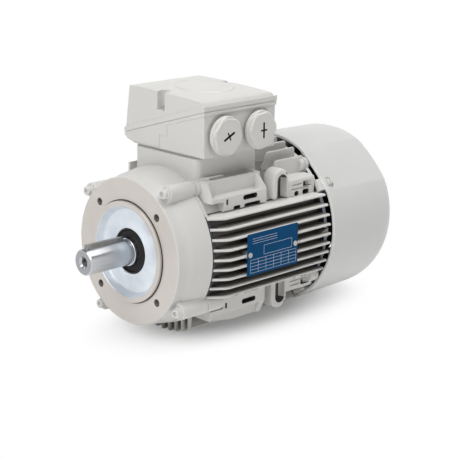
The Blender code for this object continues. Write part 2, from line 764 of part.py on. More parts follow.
def preload_spring():
    """Spring washer that presses on the fan-side bearing."""
    start = FAN_BEARING_END + CLEARANCE
    inner = BEARING_R - SPRING_SECTION
    profile = [(start, BEARING_R), (SPRING_END, BEARING_R), (SPRING_END, inner), (start, inner)]
    turned("preload_spring", profile, STEEL)


def finned_outline():
    """Section of the frame without its bore: side fins on both sides and upright fins below."""

    def side_fin(height, sign):
        tip = math.sqrt(FIN_R**2 - height**2)
        low, high = height - FIN_ROOT / 2, height + FIN_ROOT / 2
        foot = [(sign * math.sqrt(BARREL_R**2 - z**2), z) for z in (low, high)]
        ends = [(sign * tip, height - FIN_TIP / 2), (sign * tip, height + FIN_TIP / 2)]
        return [foot[0], *ends, foot[1]]

    def low_fin(across):
        tip = -REST_DEPTH if abs(across) <= UPRIGHT_FIN_PITCH else -math.sqrt(FIN_R**2 - across**2)
        left, right = across - FIN_ROOT / 2, across + FIN_ROOT / 2
        foot = [(y, -math.sqrt(BARREL_R**2 - y**2)) for y in (left, right)]
        ends = [(across - FIN_TIP / 2, tip), (across + FIN_TIP / 2, tip)]
        return [foot[0], *ends, foot[1]]

    heights = spaced(FIN_PITCH, FIN_COUNT)
    points = [p for z in heights for p in side_fin(z, 1)]
    last = math.atan2(points[-1][1], points[-1][0])
    points += arc(BARREL_R, last, math.pi - last, 16)[1:-1]
    points += [p for z in reversed(heights) for p in reversed(side_fin(z, -1))]
    bottom = [p for y in spaced(UPRIGHT_FIN_PITCH, UPRIGHT_FIN_COUNT) for p in low_fin(y)]
    first = math.atan2(bottom[0][1], bottom[0][0]) + 2 * math.pi
    points += arc(BARREL_R, math.pi + last, first, 5)[1:-1]
    points += bottom
    points += arc(BARREL_R, 3 * math.pi - first, 2 * math.pi - last, 5)[1:-1]
    return points


def corner_sections(points):
    """A section given for the far upper corner, mirrored to the four corners."""
    return [[(y * sy, z * sz) for y, z in points] for sy in (1, -1) for sz in (1, -1)]


PAD_SIDE = BARREL_R - PAD_SIDE_INSET
PAD_TOP = BARREL_R - PAD_TOP_INSET
LEDGE_Z = PAD_TOP - LEDGE_DROP
WALL_Y = PAD_SIDE - LEDGE_DEPTH
PAD_LOW = LEDGE_Z - PAD_HEIGHT


def pad_section():
    """Section of a corner pad: side face, ledge, wall and top."""
    inner = WALL_Y - PAD_WEB
    middle = MID_WALL_R / math.sqrt(2)
    return [
        (math.sqrt(MID_WALL_R**2 - PAD_LOW**2), PAD_LOW),
        (PAD_SIDE, PAD_LOW),
        (PAD_SIDE, LEDGE_Z),
        (WALL_Y, LEDGE_Z),
        (WALL_Y, PAD_TOP),
        (inner, PAD_TOP),
        (inner, math.sqrt(MID_WALL_R**2 - inner**2)),
        (middle, middle),
    ]


def stator_frame():
    """Finned frame with corner pads, screw lugs and the pedestal of the terminal box."""
    body = extruded("stator_frame", [finned_outline()], FRAME_START, FRAME_END, PAINT)
    reach = FIN_R + FIN_HEIGHT
    ramp_end = FRAME_START + FIN_RAMP
    foot = BARREL_R + FIN_RAMP_FOOT
    ramp = [(FRAME_START - CLEARANCE, foot), (ramp_end, reach), (FRAME_START - CLEARANCE, reach)]
    cut(body, turned("fin_ramp", ramp, steps=BORE_ROUND))

    lugs = [lug_outline(a, MID_WALL_R, TIE_R, LUG_RADIUS) for a in tie_angles()]
    fuse(body, extruded("frame_drive_lugs", lugs, FRAME_START, FRAME_START + FRAME_LUG_LENGTH))
    fuse(body, extruded("frame_fan_lugs", lugs, FRAME_END - FRAME_LUG_LENGTH, FRAME_END))

    pads = corner_sections(pad_section())
    pad_start = FRAME_START + DRIVE_PAD_SETBACK
    pad_end = pad_start + DRIVE_PAD_LENGTH + DRIVE_PAD_SLANT
    drive_pads = extruded("drive_pads", pads, pad_start, pad_end)
    slant = [(pad_end - DRIVE_PAD_SLANT, PAD_TOP), (pad_end, LEDGE_Z)]
    slant.append((pad_end + DRIVE_PAD_SLANT, PAD_TOP + LEDGE_DROP))
    ends = [[(x, z * sign) for x, z in slant] for sign in (1, -1)]
    cut(drive_pads, extruded("pad_slants", ends, -reach, reach, axes=SIDEWAYS))
    fuse(body, drive_pads)
    fuse(body, extruded("fan_pads", pads, FRAME_END - FAN_PAD_LENGTH, FRAME_END))

    boss_x = FRAME_START + BOSS_SETBACK
    boss_y = PAD_SIDE - BOSS_RADIUS + BOSS_STEP
    boss_top = PAD_TOP + BOSS_STEP
    inner = MID_WALL_R / math.sqrt(2)
    bosses = []
    channels = []
    for sy in (1, -1):
        centre = (boss_x, sy * boss_y)
        bosses.append(circle(BOSS_RADIUS, HOLE_ROUND, centre, math.pi / HOLE_ROUND))
        channels.append(circle(CHANNEL_DIAMETER / 2, HOLE_ROUND, (boss_x, sy * (PAD_SIDE + BOSS_STEP))))
    channel_end = boss_top - CHANNEL_CAP
    fuse(body, extruded("upper_bosses", bosses, PAD_LOW, boss_top, axes=UPRIGHT))
    fuse(body, extruded("lower_bosses", bosses, -boss_top, -PAD_LOW, axes=UPRIGHT))
    cut(body, extruded("channels", channels, PAD_LOW, channel_end, axes=UPRIGHT))
    cut(body, extruded("lower_channels", channels, -channel_end, -PAD_LOW, axes=UPRIGHT))

    top_start = FRAME_END - TOP_FIN_LENGTH
    for number, across in enumerate(spaced(TOP_FIN_PITCH, TOP_FIN_COUNT), 1):
        foot_z = math.sqrt(MID_WALL_R**2 - across**2)
        tip_z = math.sqrt(FIN_R**2 - across**2)
        side = [(top_start, foot_z), (FRAME_END, foot_z)]
        side += [(FRAME_END, tip_z), (top_start + TOP_FIN_SLANT, tip_z)]
        low = -across - FIN_TIP / 2
        fuse(body, extruded(f"top_fin_{number}", [side], low, low + FIN_TIP, axes=SIDEWAYS))

    half = PEDESTAL_WIDTH / 2
    foot_z = math.sqrt(BORE_R**2 - half**2)
    pedestal = box("pedestal", (PEDESTAL_START, -half, foot_z), (PEDESTAL_END, half, PEDESTAL_TOP))
    edges = pedestal.modifiers.new("corners", "BEVEL")
    edges.width = PEDESTAL_ROUNDING
    edges.segments = 3
    edges.limit_method = "WEIGHT"
    weights = pedestal.data.attributes.new("bevel_weight_edge", "FLOAT", "EDGE")
    for edge, weight in zip(pedestal.data.edges, weights.data):
        first, second = (pedestal.data.vertices[v].co for v in edge.vertices)
        weight.value = float(abs(first.z - second.z) > abs(first.x - second.x) + abs(first.y - second.y))
    fuse(body, pedestal)

    rivet_y = PLATE_Y + CLEARANCE
    spans = [((x, rivet_y, 0), (x, -MID_WALL_R, 0), RIVET_BOSS / 2) for x in rivet_places()]
    fuse(body, rods("rivet_bosses", spans, sides=SMALL_ROUND))

    cut(body, turned("frame_bore", bore_cutter(), steps=BORE_ROUND))
    slots = []
    slot_z = LEDGE_Z - SLOT_DROP
    slot_starts = (pad_start + SLOT_SETBACK, FRAME_END - FAN_SLOT_SETBACK - SLOT_LENGTH)
    for x in slot_starts:
        for sign in (1, -1):
            low, high = sorted((sign * slot_z, sign * (slot_z - SLOT_HEIGHT)))
            slots.append(rectangle((x, low), (x + SLOT_LENGTH, high)))
    slot_floor = PAD_SIDE - SLOT_DEPTH
    cut(body, extruded("near_slots", slots, slot_floor, reach, axes=SIDEWAYS))
    cut(body, extruded("far_slots", slots, -reach, -slot_floor, axes=SIDEWAYS))
    seat_start = FRAME_START + RATING_PLATE_SETBACK - RIVET_INSET
    seat_end = seat_start + RATING_PLATE_LENGTH + 2 * RIVET_INSET
    seat_half = RATING_PLATE_HEIGHT / 2 + RIVET_INSET
    seat = rectangle((seat_start, -seat_half), (seat_end, seat_half))
    cut(body, extruded("plate_seat", [seat], -rivet_y, reach, axes=SIDEWAYS))
    tip = rivet_y + RIVET_GRIP + CLEARANCE
    radius = RIVET_DIAMETER / 2 + CLEARANCE
    spans = [((x, -reach, 0), (x, tip, 0), radius) for x in rivet_places()]
    cut(body, rods("rivet_holes", spans, sides=SMALL_ROUND))
    depth = TIE_GRIP + 2 * CLEARANCE
    cut(body, tie_holes("frame_drive_taps", FRAME_START - depth, FRAME_START + depth))
    cut(body, tie_holes("frame_fan_taps", FRAME_END - depth, FRAME_END + depth))
    cut(body, lead_hole("frame_lead_hole", BORE_R / 2, PEDESTAL_TOP + GASKET))
    cut(body, box_screw_holes("pedestal_taps", PEDESTAL_TOP - BOX_SCREW_GRIP, PEDESTAL_TOP + GASKET))


def bore_cutter():
    """Profile of the frame's bore, longer than the frame."""
    start, end = FRAME_START - FRAME_WALL, FRAME_END + FRAME_WALL
    return [(start, 0), (end, 0), (end, BORE_R), (start, BORE_R)]


def lead_hole(name, low, high):
    """Opening for the winding leads, from the stator to the terminal box."""
    half = LEAD_HOLE_LENGTH / 2
    near = PEDESTAL_NEAR + LEAD_HOLE_EDGE
    return box(name, (BOX_X - half, near, low), (BOX_X + half, near + LEAD_HOLE_WIDTH, high))


def box_screw_places():
    """Places of the screws that hold the box on the pedestal."""
    y = PEDESTAL_NEAR + BOX_SCREW_EDGE
    return [(PEDESTAL_START + BOX_SCREW_INSET, y), (PEDESTAL_END - BOX_SCREW_INSET, y)]


def box_screw_holes(name, low, high):
    """Holes for the screws that hold the box."""
    radius = BOX_SCREW_DIAMETER / 2 + CLEARANCE
    spans = [((x, y, low), (x, y, high), radius) for x, y in box_screw_places()]
    return rods(name, spans, sides=SMALL_ROUND)


def stator_core():
    """Laminated core, pressed into the frame."""
    outer, inner = REGISTER_R, CORE_BORE / 2
    profile = [(CORE_START, outer), (CORE_END, outer), (CORE_END, inner), (CORE_START, inner)]
    turned("stator_core", profile, CORE_STEEL, BORE_ROUND)


def winding_heads():
    """Coil ends on both sides of the core."""
    outer, inner = BORE_R - WINDING_INSET, CORE_BORE / 2 + WINDING_LIFT
    edge = WINDING_OVERHANG / 4
    for name, seat, sign in (("drive", CORE_START, -1), ("fan", CORE_END, 1)):
        near = seat + sign * CLEARANCE
        far = seat + sign * WINDING_OVERHANG
        profile = [(near, outer), (far - sign * edge, outer), (far, outer - edge)]
        profile += [(far, inner + edge), (far - sign * edge, inner), (near, inner)]
        turned(f"winding_head_{name}_end", profile, VARNISH)


def rotor_core():
    """Rotor stack with its cast cage end rings."""
    bore = SHOULDER_R + CLEARANCE
    ring = ROTOR_R - END_RING_INSET
    inside = max(ring - END_RING_WALL, bore + END_RING_INSET)
    low, high = CORE_START - END_RING_LENGTH, CORE_END + END_RING_LENGTH
    profile = [(low, ring), (CORE_START, ring), (CORE_START, ROTOR_R), (CORE_END, ROTOR_R), (CORE_END, ring)]
    profile += [(high, ring), (high, inside), (CORE_END, inside), (CORE_END, bore)]
    profile += [(CORE_START, bore), (CORE_START, inside), (low, inside)]
    turned("rotor_core", profile, CAST, BORE_ROUND)


def fan():
    """Radial fan with straight blades, good for both directions."""
    bore = FAN_SEAT_R + CLEARANCE
    hub = bore + FAN_HUB_WALL
    plate = FAN_START + FAN_PLATE_WALL
    disc = FAN_PLATE_DIAMETER / 2
    profile = [(FAN_START, bore), (FAN_END, bore), (FAN_END, hub)]
    profile += [(plate, hub), (plate, disc), (FAN_START, disc)]
    body = turned("fan", profile, BLACK_PLASTIC)
    blades = []
    half = FAN_BLADE_WALL / 2
    for i in range(FAN_BLADES):
        turn = Matrix.Rotation(2 * math.pi * (i + 0.5) / FAN_BLADES, 2)
        corners = rectangle((hub - FAN_HUB_WALL / 2, -half), (FAN_DIAMETER / 2, half))
        blades.append([tuple(turn @ Vector(corner)) for corner in corners])
    low = FAN_START + FAN_PLATE_WALL / 2
    fuse(body, extruded("fan_blades", blades, low, FAN_END - FAN_PLATE_WALL))
    inner = FAN_SEAT_R - CLIP_GROOVE + CLEARANCE
    outer = FAN_SEAT_R + CLIP_SECTION
    end = CLIP_START + CLIP_WIDTH
    turned("fan_clip", [(CLIP_START, outer), (end, outer), (end, inner), (CLIP_START, inner)], STEEL)


def fan_cowl():
    """Cowl over the fan, with an air grille in its end."""
    rounding = COWL_REAR_ROUNDING
    side_end = COWL_END - rounding
    edge = cowl_radius(side_end)
    rear = edge - COWL_REAR_DROP
    knee = COWL_END - rounding * KNEE_BACK
    knee_drop = COWL_REAR_DROP * KNEE_DROP
    profile = [
        (COWL_END, 0),
        (COWL_END, rear),
        (knee, edge - knee_drop),
        (side_end, edge),
        (COWL_START, COWL_R),
        (COWL_START, COWL_R - COWL_WALL),
        (side_end, edge - COWL_WALL),
        (knee - COWL_WALL, edge - COWL_WALL - knee_drop),
        (COWL_END - COWL_WALL, rear - COWL_WALL),
        (COWL_END - COWL_WALL, 0),
    ]
    body = turned("fan_cowl", profile, PAINT, COWL_ROUND, turn=math.pi / COWL_ROUND)
    ring_width = (rear - GRILLE_CENTRE) / GRILLE_RINGS
    slots = []
    for ring in range(GRILLE_RINGS):
        low = GRILLE_CENTRE + ring * ring_width
        high = low + ring_width - GRILLE_BAR
        count = GRILLE_SLOTS * (1 + ring)
        half = min(GRILLE_SLOT_WIDTH / 2, low * math.pi / count - GRILLE_BAR / 4)
        for i in range(count):
            turn = Matrix.Rotation(2 * math.pi * i / count, 2)
            slots.append([tuple(turn @ Vector(corner)) for corner in rectangle((low, -half), (high, half))])
    cut(body, extruded("grille", slots, COWL_END - 2 * COWL_WALL, COWL_END + COWL_WALL))
    hole = COWL_SCREW_DIAMETER / 2 + CLEARANCE
    shank = COWL_SCREW_DIAMETER / 2
    head = COWL_SCREW_HEAD / 2
    seat = cowl_flat(COWL_SCREW_X - head) + CLEARANCE
    outside = FIN_R + FIN_HEIGHT
    x = COWL_SCREW_X
    spans = [(polar(BARREL_R, a, x), polar(outside, a, x), hole) for a in cowl_angles()]
    cut(body, rods("cowl_holes", spans, sides=SMALL_ROUND))
    top = seat + COWL_SCREW_HEAD_HEIGHT
    tip = cowl_flat(COWL_SCREW_X) - COWL_SCREW_GRIP
    profile = [(top, 0), (top, head), (seat, head), (seat, shank), (tip, shank), (tip, 0)]
    for number, angle in enumerate(cowl_angles(), 1):
        screw = turned(f"cowl_screw_{number}", profile, ZINC, SMALL_ROUND)
        outwards = polar(1, angle).to_track_quat("Z", "X").to_matrix().to_4x4()
        screw.matrix_local = Matrix.Translation((COWL_SCREW_X, 0, 0)) @ outwards


def rivet_places():
    """Places of the rating plate's rivets along the frame."""
    start = FRAME_START + RATING_PLATE_SETBACK
    return (start + RIVET_INSET, start + RATING_PLATE_LENGTH - RIVET_INSET)


def rating_plate():
    """Bare rating plate and its rivets, on the near side fins."""
    start = FRAME_START + RATING_PLATE_SETBACK
    half = RATING_PLATE_HEIGHT / 2
    corners = rectangle((start, -half), (start + RATING_PLATE_LENGTH, half))
    back = -PLATE_Y
    front = back + RATING_PLATE_WALL
    plate = extruded("rating_plate", [corners], back, front, BLUE_PLATE, SIDEWAYS)
    hole = RIVET_DIAMETER / 2 + CLEARANCE
    spans = [((x, -BARREL_R, 0), (x, -FIN_R - FIN_HEIGHT, 0), hole) for x in rivet_places()]
    cut(plate, rods("plate_holes", spans, sides=SMALL_ROUND))
    under = front + CLEARANCE
    top = under + RIVET_HEAD_HEIGHT
    tip = back - RIVET_GRIP
    head, shank = RIVET_HEAD / 2, RIVET_DIAMETER / 2
    profile = [(top, 0), (top, RIVET_CROWN / 2), (under, head), (under, shank), (tip, shank), (tip, 0)]
    for number, x in enumerate(rivet_places(), 1):
        rivet = turned(f"rating_plate_rivet_{number}", profile, ZINC, SMALL_ROUND)
        rivet.matrix_local = Matrix.Translation((x, 0, 0)) @ SIDEWAYS


def joint_height(across):
    """Height of the sloped joint between box and lid at a place across the motor."""
    slope = (BOX_FAR_TOP - BOX_NEAR_TOP) / (BOX_FAR - BOX_NEAR)
    return BOX_NEAR_TOP + slope * (across - BOX_NEAR)


def lid_screw_places():
    """Places of the lid screws along the motor."""
    return (BOX_START + LID_CHANNEL, BOX_END - LID_CHANNEL)


def box_base_gasket():
    """Flat gasket between the pedestal and the box."""
    inset = GASKET_INSET
    half = PEDESTAL_WIDTH / 2 - inset
    low = PEDESTAL_TOP + CLEARANCE
    high = low + GASKET
    corners = (PEDESTAL_START + inset, -half, low), (PEDESTAL_END - inset, half, high)
    body = box("box_gasket", *corners, RUBBER)
    cut(body, lead_hole("gasket_lead_hole", low - GASKET, high + GASKET))
    cut(body, box_screw_holes("gasket_holes", low - GASKET, high + GASKET))


def screw_bosses(name, low_outline, wall):
    """Blocks inside the end walls that carry the lid screws."""
    half = BOX_BOSS / 2
    near, far = LID_SCREW_Y - half, LID_SCREW_Y + half
    outline = low_outline(near, far)
    first = extruded(name + "_first", [outline], BOX_START + wall / 2, BOX_START + BOX_BOSS)
    last = extruded(name + "_last", [outline], BOX_END - BOX_BOSS, BOX_END - wall / 2)
    return first, last


def terminal_box_base():
    """Lower half of the terminal box, whose joint slopes down to the far side."""
    outline = [(BOX_NEAR, BOX_BOTTOM), (BOX_FAR, BOX_BOTTOM)]
    outline += [(BOX_FAR, BOX_FAR_TOP), (BOX_NEAR, BOX_NEAR_TOP)]
    body = extruded("terminal_box_base", [outline], BOX_START, BOX_END, PAINT)
    wall = BOX_WALL
    hollow = (BOX_START + wall, BOX_NEAR + wall, BOX_FLOOR_TOP), (BOX_END - wall, BOX_FAR - wall, LID_TOP)
    cut(body, box("base_hollow", *hollow))

    def below_joint(near, far):
        floor = BOX_FLOOR_TOP - BOX_FLOOR / 2
        return [(near, floor), (far, floor), *((y, joint_height(y) - LID_GAP) for y in (far, near))]

    fuse(body, *screw_bosses("base_boss", below_joint, wall))
    cut(body, lead_hole("base_lead_hole", BOX_BOTTOM - BOX_FLOOR, BOX_FLOOR_TOP + BOX_FLOOR))
    cut(body, box_screw_holes("base_holes", BOX_BOTTOM - BOX_FLOOR, BOX_FLOOR_TOP + BOX_FLOOR))
    tap = LID_SCREW_DIAMETER / 2 + CLEARANCE
    low = joint_height(LID_SCREW_Y) - LID_SCREW_GRIP - CLEARANCE
    spans = [((x, LID_SCREW_Y, low), (x, LID_SCREW_Y, LID_TOP), tap) for x in lid_screw_places()]
    cut(body, rods("base_taps", spans, sides=SMALL_ROUND))
    entry = PLUG_THREAD_DIAMETER / 2 + CLEARANCE
    outside, inside = BOX_NEAR - wall, BOX_NEAR + wall + wall
    spans = [((x, outside, PLUG_Z), (x, inside, PLUG_Z), entry) for x in plug_places()]
    cut(body, rods("cable_entries", spans, sides=PLUG_ROUND))
    tap = BOX_SCREW_DIAMETER / 2 + CLEARANCE
    x, y = earth_screw_place()
    low = BOX_FLOOR_TOP - EARTH_SCREW_GRIP - CLEARANCE
    cut(body, rods("earth_tap", [((x, y, low), (x, y, LID_TOP), tap)], sides=SMALL_ROUND))


def lid_gasket():
    """Seal that lies in the sloped joint."""
    inset = LID_RIM
    near, far = BOX_NEAR + inset, BOX_FAR - inset
    low = [(y, joint_height(y) + CLEARANCE) for y in (near, far)]
    high = [(y, joint_height(y) + CLEARANCE + LID_GASKET) for y in (far, near)]
    body = extruded("lid_gasket", [low + high], BOX_START + inset, BOX_END - inset, RUBBER)
    wall = BOX_WALL
    hollow = (BOX_START + wall, BOX_NEAR + wall, BOX_BOTTOM), (BOX_END - wall, BOX_FAR - wall, LID_TOP)
    cut(body, box("gasket_hollow", *hollow))


def lid_outline(wall):
    """Side view of the lid from the near edge over the crown to the far edge, with a wall taken off."""
    near_top, far_top = BOX_NEAR + LID_NEAR_DRAFT + wall, BOX_FAR - LID_FAR_DRAFT - wall
    middle = (near_top + far_top) / 2
    edges = {-1: LID_EDGE_TOP - wall, 1: LID_TOP - LID_FAR_DROP - wall}
    top = []
    for i in range(9):
        share = i / 4 - 1
        edge = edges[-1] if share < 0 else edges[1]
        rise = (LID_TOP - wall - edge) * (1 - share**2)
        top.append((middle + share * (far_top - near_top) / 2, edge + rise))
    return top


def terminal_box_lid():
    """Lid with crowned top, deep far side and channels for its screws."""

    def bottom(across):
        return joint_height(across) + LID_GAP

    outline = [*lid_outline(0), (BOX_FAR, bottom(BOX_FAR)), (BOX_NEAR, bottom(BOX_NEAR))]
    body = extruded("terminal_box_lid", [outline], BOX_START, BOX_END, PAINT)
    rim_near, rim_far = BOX_NEAR - LID_RIM, BOX_FAR + LID_RIM
    low = [(y, bottom(y)) for y in (rim_near, rim_far)]
    high = [(y, bottom(y) + LID_RIM_HEIGHT) for y in (rim_far, rim_near)]
    fuse(body, extruded("lid_rim", [low + high], BOX_START - LID_RIM, BOX_END + LID_RIM))
    wall = LID_WALL
    past = LID_RIM_HEIGHT
    hollow = [*lid_outline(wall)]
    hollow += [(y, bottom(y) - past) for y in (BOX_FAR - LID_FOOT_WALL, BOX_NEAR + LID_FOOT_WALL)]
    cut(body, extruded("lid_hollow", [hollow], BOX_START + wall, BOX_END - wall))

    def above_joint(near, far):
        top = LID_EDGE_TOP - wall / 2
        return [(near, bottom(near) + LID_GAP), (far, bottom(far) + LID_GAP), (far, top), (near, top)]

    fuse(body, *screw_bosses("lid_boss", above_joint, wall))
    seat = bottom(LID_SCREW_Y) + LID_SCREW_SEAT
    half = LID_CHANNEL / 2
    past = LID_CHANNEL
    depth = LID_CHANNEL + half
    for name, low, high in (
        ("first_channel", BOX_START - past, BOX_START + depth),
        ("last_channel", BOX_END - depth, BOX_END + past),
    ):
        cut(body, box(name, (low, LID_SCREW_Y - half, seat), (high, LID_SCREW_Y + half, LID_TOP + past)))
    hole = LID_SCREW_DIAMETER / 2 + CLEARANCE
    spans = [((x, LID_SCREW_Y, BOX_BOTTOM), (x, LID_SCREW_Y, LID_TOP), hole) for x in lid_screw_places()]
    cut(body, rods("lid_holes", spans, sides=SMALL_ROUND))

    under = seat + CLEARANCE
    top = under + LID_SCREW_HEAD_HEIGHT
    tip = joint_height(LID_SCREW_Y) - LID_SCREW_GRIP
    head, shank = LID_SCREW_HEAD / 2, LID_SCREW_DIAMETER / 2
    profile = [(top, 0), (top, head), (under, head), (under, shank), (tip, shank), (tip, 0)]
    for number, x in enumerate(lid_screw_places(), 1):
        screw = turned(f"lid_screw_{number}", profile, ZINC, SMALL_ROUND, UPRIGHT)
        screw.matrix_local = Matrix.Translation((x, LID_SCREW_Y, 0))


def plug_places():
    """Places of the two cable entries along the motor."""
    return [BOX_X + shift for shift in spaced(PLUG_PITCH, 2)]


def cable_plugs():
    """Blanking plugs in the cable entries, each with a flat seal under its head."""
    thread = PLUG_THREAD_DIAMETER / 2
    face = -BOX_NEAR
    seat = face + PLUG_SEAL + 2 * CLEARANCE
    collar = seat + PLUG_HEAD_HEIGHT - PLUG_HEX
    top = seat + PLUG_HEAD_HEIGHT
    profile = [(collar, 0), (collar, PLUG_HEAD_R), (seat, PLUG_HEAD_R), (seat, thread)]
    profile += [(face - PLUG_THREAD_LENGTH, thread), (face - PLUG_THREAD_LENGTH, 0)]
    seal_low, seal_high = face + CLEARANCE, face + CLEARANCE + PLUG_SEAL
    inner = thread + CLEARANCE
    outer = thread + PLUG_SEAL_SECTION
    ring = [(seal_low, outer), (seal_high, outer), (seal_high, inner), (seal_low, inner)]
    for number, (x, turn, stroke) in enumerate(zip(plug_places(), PLUG_TURNS, PLUG_SLOT_TURNS), 1):
        at = Matrix.Translation((x, 0, PLUG_Z)) @ SIDEWAYS
        plug = turned(f"cable_plug_{number}", profile, PLASTIC, PLUG_ROUND)
        plug.matrix_local = at
        corners = circle(PLUG_HEAD_R - PLUG_HEX_INSET, HEX)
        hexagon = extruded(f"plug_hex_{number}", [corners], collar - PLUG_HEX / 2, top)
        hexagon.matrix_local = at @ Matrix.Rotation(turn, 4, "Z")
        fuse(plug, hexagon)
        low = top - PLUG_SLOT_DEPTH
        for side, length in enumerate(PLUG_SLOT_LENGTHS):
            outline = rectangle((-length / 2, -PLUG_SLOT_WIDTH / 2), (length / 2, PLUG_SLOT_WIDTH / 2))
            slot = extruded(f"plug_slot_{number}_{side}", [outline], low, top + PLUG_SLOT_DEPTH)
            slot.matrix_local = at @ Matrix.Rotation(stroke + side * math.pi / 2, 4, "Z")
            cut(plug, slot)
        seal = turned(f"cable_plug_seal_{number}", ring, RUBBER, PLUG_ROUND)
        seal.matrix_local = at


def terminal_board():
    """Board with six studs, their nuts and three links."""
    length, width, height = BOARD_SIZE
    low = BOX_FLOOR_TOP + CLEARANCE
    top = low + height
    near, far = BOARD_SHIFT - width / 2, BOARD_SHIFT + width / 2
    start, end = BOX_X - length / 2, BOX_X + length / 2
    board = box("terminal_board", (start, near, low), (end, far, top), BLACK_PLASTIC)
    columns = [BOX_X + x for x in spaced(STUD_PITCH[0], 3)]
    rows = [BOARD_SHIFT + y for y in spaced(STUD_PITCH[1], 2)]
    hole = STUD_DIAMETER / 2 + CLEARANCE
    foot = top - STUD_SINK
    spans = [((x, y, foot - CLEARANCE), (x, y, top + height), hole) for x in columns for y in rows]
    cut(board, rods("stud_holes", spans, sides=SMALL_ROUND))
    link_low = top + CLEARANCE
    link_high = link_low + LINK_WALL
    nut_low = link_high + CLEARANCE
    nut_high = nut_low + NUT_HEIGHT
    shank, nut = STUD_DIAMETER / 2, NUT_SIZE / 2
    profile = [(top + STUD_HEIGHT, 0), (top + STUD_HEIGHT, shank), (nut_high, shank), (nut_high, nut)]
    profile += [(nut_low, nut), (nut_low, shank), (foot, shank), (foot, 0)]
    places = [(x, y) for x in columns for y in rows]
    for number, (x, y) in enumerate(places, 1):
        stud = turned(f"terminal_stud_{number}", profile, BRASS, HEX, UPRIGHT)
        stud.matrix_local = Matrix.Translation((x, y, 0))
    half = LINK_WIDTH / 2
    for number, x in enumerate(columns, 1):
        low_corner, high_corner = (x - half, rows[0] - half, link_low), (x + half, rows[1] + half, link_high)
        link = box(f"terminal_link_{number}", low_corner, high_corner, BRASS)
        spans = [((x, y, link_low - LINK_WALL), (x, y, link_high + LINK_WALL), hole) for y in rows]
        cut(link, rods(f"link_holes_{number}", spans, sides=SMALL_ROUND))


def earth_screw_place():
    """Place of the earth screw on the floor of the box."""
    return PEDESTAL_START + BOX_SCREW_INSET, PEDESTAL_WIDTH / 2 - EARTH_SCREW_INSET


def box_screws():
    """Screws that hold the box on the pedestal, and the earth screw."""
    head, shank = BOX_SCREW_HEAD / 2, BOX_SCREW_DIAMETER / 2
    under = BOX_FLOOR_TOP + CLEARANCE
    top = under + BOX_SCREW_HEAD_HEIGHT
    tips = [PEDESTAL_TOP - BOX_SCREW_GRIP + CLEARANCE] * 2 + [BOX_FLOOR_TOP - EARTH_SCREW_GRIP]
    names = ("box_screw_1", "box_screw_2", "earth_screw")
    for name, (x, y), tip in zip(names, [*box_screw_places(), earth_screw_place()], tips):
        profile = [(top, 0), (top, head), (under, head), (under, shank), (tip, shank), (tip, 0)]
        screw = turned(name, profile, BRASS if name == "earth_screw" else ZINC, SMALL_ROUND, UPRIGHT)
        screw.matrix_local = Matrix.Translation((x, y, 0))


def main():
    """Builds every piece of the motor."""
    shaft()
    shaft_key()
    bearing("drive_bearing", BEARING_START)
    bearing("fan_bearing", FAN_BEARING_START)
    preload_spring()
    shaft_seal()
    drive_end_shield()
    stator_frame()
    stator_core()
    winding_heads()
    rotor_core()
    fan_end_shield()
    fan()
    fan_cowl()
    rating_plate()
    box_base_gasket()
    terminal_box_base()
    lid_gasket()
    terminal_box_lid()
    cable_plugs()
    terminal_board()
    box_screws()


main()
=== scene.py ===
"""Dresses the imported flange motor: castings, turned steel, painted sheet, and a plain studio round it.

Shapes are drawn in millimetres in the flange's frame: x runs along the shaft from the flange face to the
fan, y to the far side and z up from the shaft axis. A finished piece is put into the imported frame, in
metres.
"""

import json
import logging
from dataclasses import dataclass, field
from enum import Enum
from math import acos, atan2, cos, degrees, hypot, pi, radians, sin, sqrt, tan
from typing import Callable, Sequence

import bmesh
import bpy
from bpy.types import Material, Mesh, Node, NodeSocket, NodeTree, Object
from mathutils import Matrix, Vector


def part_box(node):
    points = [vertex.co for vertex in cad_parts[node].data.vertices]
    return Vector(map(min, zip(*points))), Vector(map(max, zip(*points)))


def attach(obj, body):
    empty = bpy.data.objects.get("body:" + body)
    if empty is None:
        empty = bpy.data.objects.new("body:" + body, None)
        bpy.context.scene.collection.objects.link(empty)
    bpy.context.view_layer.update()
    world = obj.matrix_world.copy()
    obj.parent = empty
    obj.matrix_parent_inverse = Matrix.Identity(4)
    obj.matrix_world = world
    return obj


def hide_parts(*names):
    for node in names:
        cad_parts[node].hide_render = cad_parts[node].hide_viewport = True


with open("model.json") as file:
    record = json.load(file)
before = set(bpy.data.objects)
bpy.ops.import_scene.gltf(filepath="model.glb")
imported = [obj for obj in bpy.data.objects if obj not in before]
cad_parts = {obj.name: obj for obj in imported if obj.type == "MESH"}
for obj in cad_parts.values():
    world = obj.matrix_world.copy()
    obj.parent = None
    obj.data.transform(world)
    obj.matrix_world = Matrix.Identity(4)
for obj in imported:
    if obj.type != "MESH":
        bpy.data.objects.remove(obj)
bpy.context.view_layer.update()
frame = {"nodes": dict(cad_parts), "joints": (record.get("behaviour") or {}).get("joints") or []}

LOG = logging.getLogger("motor")
Point = tuple[float, float]
Outline = list[Point]
Place = tuple[float, float, float]
Sockets = bpy.types.NodeOutputs
Tone = tuple[int, int, int]

MM = 0.001
DATUM = Vector(next(joint["pos_m"] for joint in frame["joints"] if joint["name"] == "rotor_spin"))
TO_FRAME = Matrix.Translation(DATUM) @ Matrix.Scale(MM, 4)
FINE = 128
FINEST = 160
SMOOTH_ANGLE = radians(32)
WELD = 0.002
QUARTER_TURN = 0.25
GRAIN_UNDER_MARKS = 0.3


def span(node: str) -> tuple[Vector, Vector]:
    """Gives a node's corners in millimetres in the flange's frame.

    Args:
        node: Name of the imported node.

    Returns:
        Its lowest and highest corner.
    """
    return tuple((corner - DATUM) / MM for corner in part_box(node))


